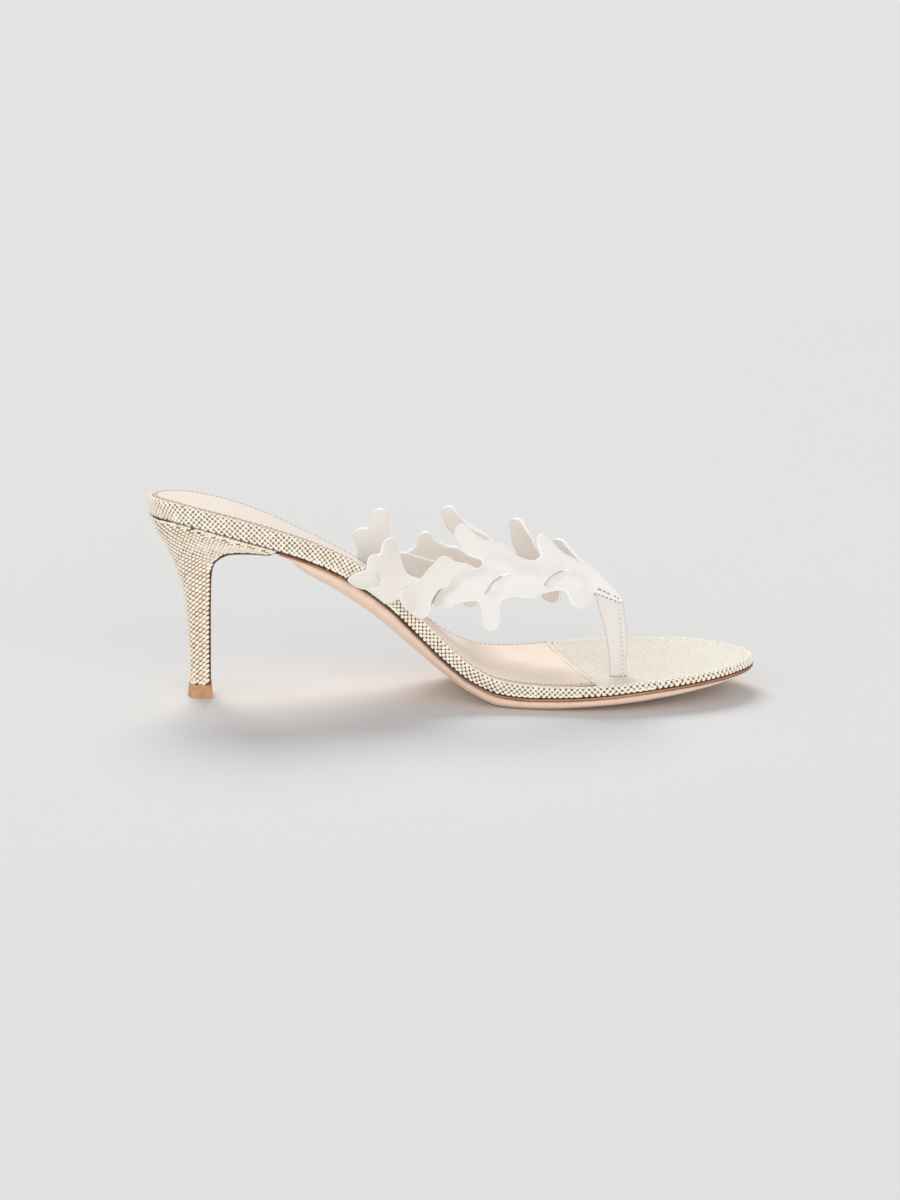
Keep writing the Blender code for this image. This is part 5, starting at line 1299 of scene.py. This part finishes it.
def plate(name, arm, side, rows, lift, cutters=(), clip_side=0, thick=STRAP_THICK, extra_field=None, cell=0.3, fine=0.6, coarse=1.15):
    """One cut piece of strap leather: its outline from the branches, rounded cut edges, and a lift off the arm's surface.

    cutters are fields, negative where leather is cut away."""
    rows = [tuple(r) for r in rows]
    data = np.array(rows)
    low = (np.minimum(data[:, 0] - data[:, 2], data[:, 3] - data[:, 5]).min() - 2, np.minimum(data[:, 1] - data[:, 2], data[:, 4] - data[:, 5]).min() - 2)
    high = (np.maximum(data[:, 0] + data[:, 2], data[:, 3] + data[:, 5]).max() + 2, np.maximum(data[:, 1] + data[:, 2], data[:, 4] + data[:, 5]).max() + 2)
    xs, zs = np.arange(low[0], high[0], cell), np.arange(low[1], high[1], cell)

    def field(x, z):
        f = branch_field(rows, x, z)
        if extra_field is not None:
            f = np.minimum(f, extra_field(x, z))
        if clip_side:
            half = smooth(x, SECTIONS, "medial" if clip_side < 0 else "lateral")
            f = np.maximum(f, seam(x, clip_side * half) + GAP + 0.3 - z)
        for cutter in cutters:
            f = np.maximum(f, -cutter(x, z))
        return f

    gx, gz = np.meshgrid(xs, zs, indexing="ij")
    grid = field(gx, gz)
    loops = level_loops(grid, xs, zs, 0.0, fine)
    loops = loops[:1] + [l for l in loops[1:] if inside_loops([loops[0]], l[:1])[0]]
    rim = np.concatenate(loops)
    # rings just inside the cut edge
    inner = []
    for level, spacing in ((-0.16, fine), (-0.42, fine * 1.15), (-0.85, fine * 1.5)):
        for loop in level_loops(grid, xs, zs, level, spacing, 1.5):
            inner.append((loop, level))
    ring_points = np.concatenate([l for l, _ in inner])
    ring_levels = np.concatenate([np.full(len(l), v) for l, v in inner])
    # even inner points
    cand = []
    for j, z in enumerate(np.arange(low[1], high[1], coarse * 0.87)):
        x = np.arange(low[0] + (coarse / 2 if j % 2 else 0), high[0], coarse)
        cand.append(np.stack([x, np.full(len(x), z)], 1))
    cand = np.concatenate(cand)
    cand = cand[field(cand[:, 0], cand[:, 1]) < -1.25]
    flat = np.concatenate([rim, ring_points, cand])
    depth = np.concatenate([np.zeros(len(rim)), -ring_levels, np.full(len(cand), 2.0)])
    deep = -field(flat[:, 0], flat[:, 1])
    edges, start, spans = [], 0, []
    for loop in loops:
        index = list(range(start, start + len(loop)))
        spans.append(index)
        edges += list(zip(index, index[1:] + index[:1]))
        start += len(loop)
    out = delaunay_2d_cdt([tuple(p) for p in flat], edges, [], 0, 1e-6)
    origin = [o[0] if o else None for o in out[3]]
    triangles = np.array([[origin[i] for i in face] for face in out[2] if all(origin[i] is not None for i in face)])
    middle = flat[triangles].mean(1)
    triangles = triangles[inside_loops(loops, middle)]
    a, b, c = (flat[triangles[:, k]] for k in range(3))
    turn = (b[:, 0] - a[:, 0]) * (c[:, 1] - a[:, 1]) - (b[:, 1] - a[:, 1]) * (c[:, 0] - a[:, 0])
    triangles = triangles[np.abs(turn) > 1e-9]
    turn = turn[np.abs(turn) > 1e-9]
    triangles[turn < 0] = triangles[turn < 0][:, ::-1]

    x, z = flat[:, 0], flat[:, 1]
    middle, normal = arm_frame(arm, side, x, z)
    lifted = lift(x, z, deep)
    corner = 0.66 + 0.34 * np.sqrt(np.clip(1 - (1 - np.clip(depth / 0.5, 0, 1)) ** 2, 0, 1))
    crown = 0.16 * smoothstep(0.3, 3.5, deep)
    outer = middle + normal * (lifted + thick / 2 * corner + crown)[:, None]
    inner_face = middle + normal * (lifted - thick / 2 * corner + 0.4 * crown)[:, None]
    n, m = len(flat), len(rim)
    # the cut edge bulges out a little between its two corners
    out_dir = np.zeros((m, 2))
    for index in spans:
        loop = flat[index]
        d = np.roll(loop, -1, axis=0) - np.roll(loop, 1, axis=0)
        d /= np.linalg.norm(d, axis=1)[:, None]
        area = (loop[:, 0] * np.roll(loop[:, 1], -1) - np.roll(loop[:, 0], -1) * loop[:, 1]).sum()
        sign = 1.0 if (area > 0) == (index[0] == 0) else -1.0
        out_dir[index] = np.stack([d[:, 1], -d[:, 0]], 1) * sign
    wall = (outer[:m] + inner_face[:m]) / 2
    wall = wall + np.column_stack([out_dir[:, 0], np.zeros(m), out_dir[:, 1]]) * 0.10
    points = np.concatenate([outer, inner_face, wall])
    faces = [tuple(t) for t in triangles] + [tuple(n + i for i in t[::-1]) for t in triangles]
    for index in spans:
        for i, j in zip(index, index[1:] + index[:1]):
            faces += [(i, j, 2 * n + j, 2 * n + i), (2 * n + i, 2 * n + j, n + j, n + i)]
    rim_mark = np.where(depth < 0.05, 1.0, np.where(depth < 0.2, 0.8, 0.0))
    marks = np.concatenate([rim_mark, np.where(depth < 0.05, 1.0, 0.0), np.ones(m)])
    face_mark = np.concatenate([np.ones(n), np.zeros(n), np.full(m, 0.5)])
    obj = put(name, points, faces, [MAT["strap"]], attributes={"rim": marks, "face": face_mark, "along": points[:, 0] / LENGTH})
    outward(obj)
    return obj


def crescent(slit, width, start=0.0, end=1.0, offset=0.0):
    """A thin field along part of a slit, widest in its middle, negative inside."""
    def f(x, z):
        across, place, best = slit.measure(x, z)
        u = np.clip((place - start) / (end - start), 0, 1)
        half = width / 2 * np.minimum(1, u / 0.12) ** 0.5 * np.clip((1 - u) / 0.55, 0.0, 1) ** 0.7
        return np.where((place > start) & (place < end), np.abs(across - offset * (half / (width / 2) if offset > 1 else 1)) - half, 9.0)
    return f


def tongue(slit, depth, reach, lip, lip_reach, start=0.0, end=1.0):
    """Height change round a slit in one piece of leather: it sinks on the tongue's side and rises at the lip."""
    def f(x, z):
        across, place, best = slit.measure(x, z)
        weight = smoothstep(start - 0.02, start + 0.22, place) * (1 - smoothstep(end - 0.30, end + 0.02, place))
        beyond = np.where((place <= 0.001) | (place >= 0.999), np.clip(1 - best / 2.5, 0, 1), 1.0)
        down = -depth * (1 - smoothstep(0.0, reach, best)) * (across > 0)
        up = lip * (1 - smoothstep(0.0, lip_reach, best)) * (across <= 0)
        return (down + up) * weight * beyond
    return f


INNER_CUTS = {      # slits of the inner arm, from their low to their high end
    "B": [(94.2, 43.4), (95.5, 43.9), (97.7, 45.2), (99.9, 46.9), (102.1, 48.5)],
    "C": [(105.0, 39.4), (106.1, 41.9), (107.6, 44.1), (109.6, 45.4), (111.5, 46.6), (113.3, 48.2), (115.5, 49.8), (119.0, 51.0)],
    "D": [(124.1, 43.1), (125.2, 45.0), (126.6, 46.8), (128.3, 48.1), (130.2, 49.1), (133.0, 50.0)],
    "E": [(146.1, 44.9), (147.2, 46.8), (148.6, 48.2), (150.3, 49.2), (152.3, 49.9), (155.2, 50.1)],
    "leaf": [(86.9, 48.7), (86.5, 47.7), (84.9, 46.5), (83.1, 45.8), (81.1, 45.6), (79.2, 45.8)],
}
OUTER_CUTS = {
    "B": [(101.5, 40.2), (101.9, 43.0), (103.0, 45.8), (106.2, 48.8)],
    "C": [(119.6, 38.8), (120.0, 42.6), (121.9, 46.0), (128.6, 49.7)],
    "D": [(133.4, 42.0), (134.0, 44.8), (136.2, 47.4), (142.1, 49.9)],
    "E": [(148.0, 41.6), (148.6, 44.0), (150.6, 46.0), (155.4, 49.8)],
}


def make_straps():
    swell = lambda seed, size, high: (lambda x, z: high * wobble(x, z, seed, size))
    arm, side = INNER_ARM, -1
    B, C, D, E, leaf = (Slit(INNER_CUTS[k]) for k in ("B", "C", "D", "E", "leaf"))

    # link A, with the slit that the leaf's end goes into
    soft_a = swell(21, 10.0, 0.42)
    def lift_a(x, z, deep):
        return 0.35 - 0.85 * smoothstep(84, 96, x) + soft_a(x, z)
    plate("strap_inner_a", arm, side, [r for r in rows_of(INNER_BRANCHES, 1)], lift_a, cutters=(crescent(leaf, 0.55, 0.0, 0.75),), clip_side=side)

    # the leaf over link A
    leaf_rows = [(74.6, 48.5, 0.15, 76.8, 48.4, 1.0), (76.8, 48.4, 1.0, 79.8, 48.2, 1.95), (79.8, 48.2, 1.95, 82.0, 48.45, 2.2),
                 (82.0, 48.45, 2.2, 84.4, 48.6, 1.7), (84.4, 48.6, 1.7, 86.3, 48.8, 0.6)]
    dip_leaf = tongue(leaf, 0.0, 2.0, 0.0, 2.0)
    def lift_leaf(x, z, deep):
        return 1.35 - 1.15 * smoothstep(83.6, 86.9, x) + 0.55 * smoothstep(0.2, 2.4, deep) + soft_a(x, z)
    plate("strap_inner_leaf", arm, side, leaf_rows, lift_leaf, thick=1.0)

    # link B, over A; its lower rear end goes under A's edge
    soft_b = soft_a
    dip_c_lip = tongue(C, 0.0, 3.0, 0.30, 3.2, 0.0, 0.62)
    def lift_b(x, z, deep):
        across, place, best = B.measure(x, z)
        tuck = 1.5 * (1 - smoothstep(0.0, 4.0, np.hypot(x - 95.2, z - 39.8) - 1.0))
        return 0.95 - 1.45 * smoothstep(100, 112, x) - tuck + dip_c_lip(x, z) + soft_b(x, z)
    plate("strap_inner_b", arm, side, rows_of(INNER_BRANCHES, 2), lift_b, cutters=(crescent(C, 4.4, 0.0, 0.66, 2.2),))

    # a dark bead where C comes out from under B's lip: painted shadow of the gap under the lip
    edge = through([(104.4, 36.8), (104.8, 37.8), (105.0, 39.5), (105.8, 41.3), (107.1, 43.4), (108.9, 44.9), (110.6, 45.9)], 26)
    centre, normal = arm_frame(arm, side, edge[:, 0], edge[:, 1])
    lip = lift_b(edge[:, 0], edge[:, 1], np.full(len(edge), 2.0)) + STRAP_THICK / 2
    tube("strap_inner_c_lip_shadow", centre + normal * (lip - 0.12)[:, None], 0.24, MAT["shade"])

    # links C, D and E: one length of leather, whose tongues come out through curved slits
    soft_c = soft_a
    dip_d, dip_e = tongue(D, 1.55, 5.5, 0.42, 3.6), tongue(E, 1.50, 4.8, 0.40, 3.2)
    ridges = [(Slit(line), high, wide) for line, high, wide in (
        ([(127.5, 46.3), (131.5, 47.6), (136.5, 48.6), (142.0, 49.4)], 0.80, 2.0),
        ([(149.8, 47.0), (153.0, 47.6), (157.5, 47.2), (160.5, 45.6)], 0.70, 1.8),
        ([(111.0, 43.4), (116.0, 46.6), (121.5, 48.6), (126.0, 50.0)], 0.75, 2.4),
        ([(126.5, 54.5), (131.0, 53.4), (136.0, 51.2)], 0.55, 2.4))]
    flat_c = lambda x: 0.95 - 0.75 * smoothstep(112, 126, x) - 0.35 * smoothstep(150, 168, x)
    def lift_c(x, z, deep):
        across, place, best = C.measure(x, z)
        sink = 2.6 * (1 - smoothstep(-0.8, 4.4, np.where(across >= 0, best, -best))) * (1 - smoothstep(0.42, 0.80, place))
        up = flat_c(x) - sink + dip_d(x, z) + dip_e(x, z) + soft_c(x, z)
        for line, high, wide in ridges:
            _, _, away = line.measure(x, z)
            up = up + high * np.exp(-(away / wide) ** 2)
        return up
    rows = rows_of(INNER_BRANCHES, 3, 4, 5)
    plate("strap_inner_c", arm, side, rows, lift_c, cutters=(crescent(D, 0.66, 0.0, 1.0), crescent(E, 0.66, 0.0, 1.0)))

    # the tongues' hidden ends, behind the slits
    for label, slit in (("d", D), ("e", E)):
        line = slit.path[::3]
        ahead = unit(np.gradient(line, axis=0))
        back = line + np.stack([-ahead[:, 1], ahead[:, 0]], 1) * 1.2
        hidden = [(a[0], a[1], 1.5, b[0], b[1], 1.5) for a, b in zip(back, back[1:])]
        plate(f"strap_inner_{label}_tongue", arm, side, hidden, lambda x, z, deep: flat_c(x) - 1.5 + soft_c(x, z), thick=0.8)

    # the outer arm: five links, each over the one behind it
    arm, side = OUTER_ARM, 1
    cuts = {4: Slit(OUTER_CUTS["D"]), 5: Slit(OUTER_CUTS["E"])}
    for link, label in ((1, "a"), (2, "b"), (3, "c"), (4, "d"), (5, "e")):
        rows = rows_of(OUTER_BRANCHES, link)
        data = np.array(rows)
        rear, front = data[:, 0].min() - 2.0, data[:, 3].max()
        mine, ahead = cuts.get(link), cuts.get(link + 1)
        soft = swell(30 + link, 11.0, 0.22)
        def lift(x, z, deep, mine=mine, ahead=ahead, rear=rear, front=front, soft=soft):
            up = 0.95 - 1.75 * np.clip((x - rear) / (front - rear), 0, 1)
            if mine is not None:
                across, place, best = mine.measure(x, z)
                up = up - 1.6 * (1 - smoothstep(-0.5, 4.2, np.where(across >= 0, best, -best))) * (1 - smoothstep(0.45, 0.85, place))
            return up + soft(x, z)
        cutters = (crescent(ahead, 0.8, 0.0, 0.6, 0.3),) if ahead is not None else ()
        plate(f"strap_outer_{label}", arm, side, rows, lift, cutters=cutters, clip_side=side if link == 1 else 0)


def make_post():
    """Folded strip between the toes: a face, a raised fold with stitching along its front, and a sloping top."""
    column = dict(POST)
    column["x"] = POST["z"]
    top = 41.2
    crease_at = lambda z: float(np.interp(z, [8.4, 18.2, 27.7, 38.0], [176.3, 176.0, 175.3, 174.4]))
    edges = lambda z: tuple(float(smooth(np.array(z), column, k)) for k in ("back", "front", "y", "thick"))

    def surface(u, s, z, inset=0.0):
        """The post's surface at u, -1 at its back to 1 at its front, on the side s, at the level z before its top is sloped."""
        back, front, y, thick = edges(min(z, top))
        back, front, thick = back + inset, front - inset, thick - 1.6 * inset
        px = (back + front) / 2 + (front - back) / 2 * u
        c = abs(u) ** (1 / 0.36)
        bulge = math.sqrt(max(0.0, 1 - c * c)) ** 0.62
        crease = crease_at(z)
        shape = -0.34 * math.exp(-((px - crease) / 0.26) ** 2) + 0.26 * float(smoothstep(crease, crease + 0.9, px))
        shape -= 0.38 * math.exp(-((px - back - 0.45 * (crease - back)) / 1.8) ** 2)
        shape -= 0.75 * math.exp(-((px - back - 2.4) / 1.7) ** 2 - ((z - 38.0) / 3.2) ** 2)
        shape += 0.12 * float(wobble(np.array(px), np.array(z), 41 + (s > 0), 8.0))
        drop = POST_TOP_DROP * float(np.clip((px - 166.1) / 10.0, 0, 1) * smoothstep(24.0, 40.0, z))
        return px, y + s * (thick / 2 * bulge + shape * bulge), z - drop

    def spot(x, z, s):
        """The place on the surface at x and the height z after sloping."""
        level = z
        for _ in range(12):
            back, front, _, _ = edges(min(level, top))
            u = max(-0.97, min(0.97, (x - (back + front) / 2) / ((front - back) / 2)))
            level += z - surface(u, s, level)[2]
        return np.array(surface(u, s, level))

    levels = np.concatenate([np.linspace(8.0, top, 52), [top + 0.5, top + 0.9, top + 1.1]])
    sides, points, rim = 96, [], []
    for z in levels:
        over = max(0.0, z - top)
        inset = 1.2 * (1 - math.sqrt(max(0.0, 1 - (over / 1.1) ** 2)))
        for i in range(sides):
            a = 2 * math.pi * i / sides
            u = math.copysign(abs(math.cos(a)) ** 0.36, math.cos(a))
            s = 1 if math.sin(a) >= 0 else -1
            points.append(surface(u, s, z, inset))
            rim.append(0.0)
    n, rows = sides, len(levels)
    faces = [tuple(range(n)), tuple(range((rows - 1) * n, rows * n))]
    for k in range(rows - 1):
        for i in range(n):
            j = (i + 1) % n
            faces.append((k * n + i, k * n + j, (k + 1) * n + j, (k + 1) * n + i))
    points = np.array(points)
    post = put("toe_post", points, faces, [MAT["post"]], attributes={"rim": rim, "face": np.ones(len(points)), "along": points[:, 0] / LENGTH})
    outward(post)

    pale, dark = [], []
    arm = INNER_ARM

    def on_strap(x, z, up):
        middle, normal = arm_frame(arm, -1, np.array([x]), np.array([z]))
        return (middle + normal * (STRAP_THICK / 2 + up))[0], normal[0]

    def lay(into, a, b, normal, wide, high):
        a, b = np.array(a), np.array(b)
        into.append(((a + b) / 2, normal, b - a, np.linalg.norm(b - a) / 2, wide, high))

    # two rows of dark stitches across the top, one on the strap's end and one below its edge; their dark is partly the
    # thread and partly painted shade of the holes
    for x0, z0, x1, z1 in ((166.6, 43.0, 168.3, 42.3), (168.6, 42.15, 170.0, 41.55), (170.3, 41.4, 171.5, 40.8), (172.9, 40.2, 173.6, 39.8), (174.2, 39.5, 174.8, 39.1)):
        a, nrm = on_strap(x0, z0, 0.12)
        b, _ = on_strap(x1, z1, 0.12)
        lay(dark, a, b, nrm, 0.17, 0.10)
    for s in (-1, 1):
        for x0, z0, x1, z1 in ((166.9, 40.9, 168.0, 40.5), (168.5, 40.3, 169.3, 40.0), (169.8, 39.8, 170.9, 39.3), (171.5, 39.1, 172.4, 38.8), (173.2, 38.5, 173.9, 38.1), (174.6, 37.8, 175.2, 37.5)):
            a, b = spot(x0, z0, s), spot(x1, z1, s)
            lay(dark, a, b, (0.0, float(s), 0.0), 0.19, 0.12)
    # down the fold
    for s in (-1, 1):
        for z in np.arange(10.0, 36.5, 1.7):
            x = crease_at(z) + 0.62
            a, b = spot(x, z, s), spot(x - 0.05, z + 0.85, s)
            lay(pale, a, b, (0.0, float(s), 0.0), 0.20, 0.16)
            # a dark mark under each pale stitch: painted shade of its hole
            hole = spot(x, z - 0.42, s)
            lay(dark, hole, hole + np.array([0.0, 0.0, 0.36]), (0.0, float(s), 0.0), 0.15, 0.06)
    # the slot that the post goes down into: a ring of dark marks on the footbed, painted shade in the slot
    ring = []
    for i in range(40):
        a = 2 * math.pi * i / 40
        u = math.copysign(abs(math.cos(a)) ** 0.36, math.cos(a))
        x, y, _ = surface(u, 1 if math.sin(a) >= 0 else -1, 12.0, -0.10)
        ring.append((x, y))
    ring = np.array(ring)
    height = footbed_top(ring[:, 0], ring[:, 1]) + 0.06
    step = np.roll(ring, -1, axis=0) - ring
    for (x, y), z, (dx, dy) in zip(ring, height, step):
        a = np.array([x, y, float(z)])
        lay(dark, a, a + np.array([dx, dy, 0.0]), (0.0, 0.0, 1.0), 0.14, 0.10)
    for name, found, material in (("toe_post_stitches", pale, MAT["white_thread"]), ("toe_post_holes_painted_shade", dark, MAT["hole"])):
        c, nrm, al, lo, wi, hi = (np.array(v, float) for v in zip(*found))
        pts, fcs, _ = domes(c, nrm, al, lo, wi, hi, 8)
        put(name, pts, fcs, [material])
    return post


# ---------------------------------------------------------------- camera, floor and light
def make_view():
    """The photograph's view: along (sin 6, cos 6) degrees, looking down 12.8, with a slight roll."""
    centre = (np.array([-3.22, -1115.28, 290.13]) - SHIFT) * 0.001
    az, down, turn = math.radians(6.0), math.radians(12.8), math.radians(0.779)
    ahead = np.array([math.sin(az) * math.cos(down), math.cos(az) * math.cos(down), -math.sin(down)])
    right = np.array([math.cos(az), -math.sin(az), 0.0])
    up = np.cross(right, ahead)
    right, up = math.cos(turn) * right + math.sin(turn) * up, math.cos(turn) * up - math.sin(turn) * right
    data = bpy.data.cameras.new("view")
    data.sensor_width = 36.0
    data.lens = 3082 * 36.0 / 1200
    data.clip_start, data.clip_end = 0.05, 60.0
    camera = bpy.data.objects.new("view", data)
    m = np.eye(4)
    m[:3, 0], m[:3, 1], m[:3, 2], m[:3, 3] = right, up, -ahead, centre
    camera.matrix_world = Matrix(m.tolist())
    bpy.context.scene.collection.objects.link(camera)
    bpy.context.scene.camera = camera


def make_studio():
    mesh = bpy.data.meshes.new("floor")
    s = 30.0
    mesh.from_pydata([(-s, -s, 0), (s, -s, 0), (s, s, 0), (-s, s, 0)], [], [(0, 1, 2, 3)])
    mesh.materials.append(floor_look("pale_floor", FLOOR))
    floor = bpy.data.objects.new("floor", mesh)
    bpy.context.scene.collection.objects.link(floor)
    world = bpy.data.worlds.new("studio")
    world.use_nodes = True
    background = world.node_tree.nodes["Background"]
    background.inputs["Color"].default_value = (*SKY_TONE, 1)
    background.inputs["Strength"].default_value = SKY
    bpy.context.scene.world = world
    for name, power, spread, (x, y, z) in SUNS:
        light = bpy.data.lights.new(name, "SUN")
        light.energy = power
        light.color = SUN_TONE
        light.angle = math.radians(spread)
        obj = bpy.data.objects.new(name, light)
        towards = -unit(np.array([x, y, z], float))
        from mathutils import Vector
        obj.rotation_euler = Vector(towards.tolist()).to_track_quat("-Z", "Y").to_euler()
        obj.location = (x, y, z)
        bpy.context.scene.collection.objects.link(obj)


FLOOR = (0.752, 0.751, 0.750)
SKY, SKY_TONE, SUN_TONE = 0.44, (0.955, 0.99, 1.04), (1.0, 0.972, 0.93)
SUNS = (
    ("key", 1.88, 34.0, (-0.12, 0.92, 0.98)),
    ("fill_left", 0.62, 60.0, (-0.9, -1.0, 0.35)),
    ("fill_right", 0.90, 50.0, (0.25, -1.0, 0.33)),
    ("fill_low", 0.62, 24.0, (0.10, -1.0, 0.05)),
)

make_footbed()
make_sock()
make_outsole()
make_flap()
make_heel()
make_top_piece()
make_straps()
post = make_post()
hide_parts("upper")
make_view()
make_studio()
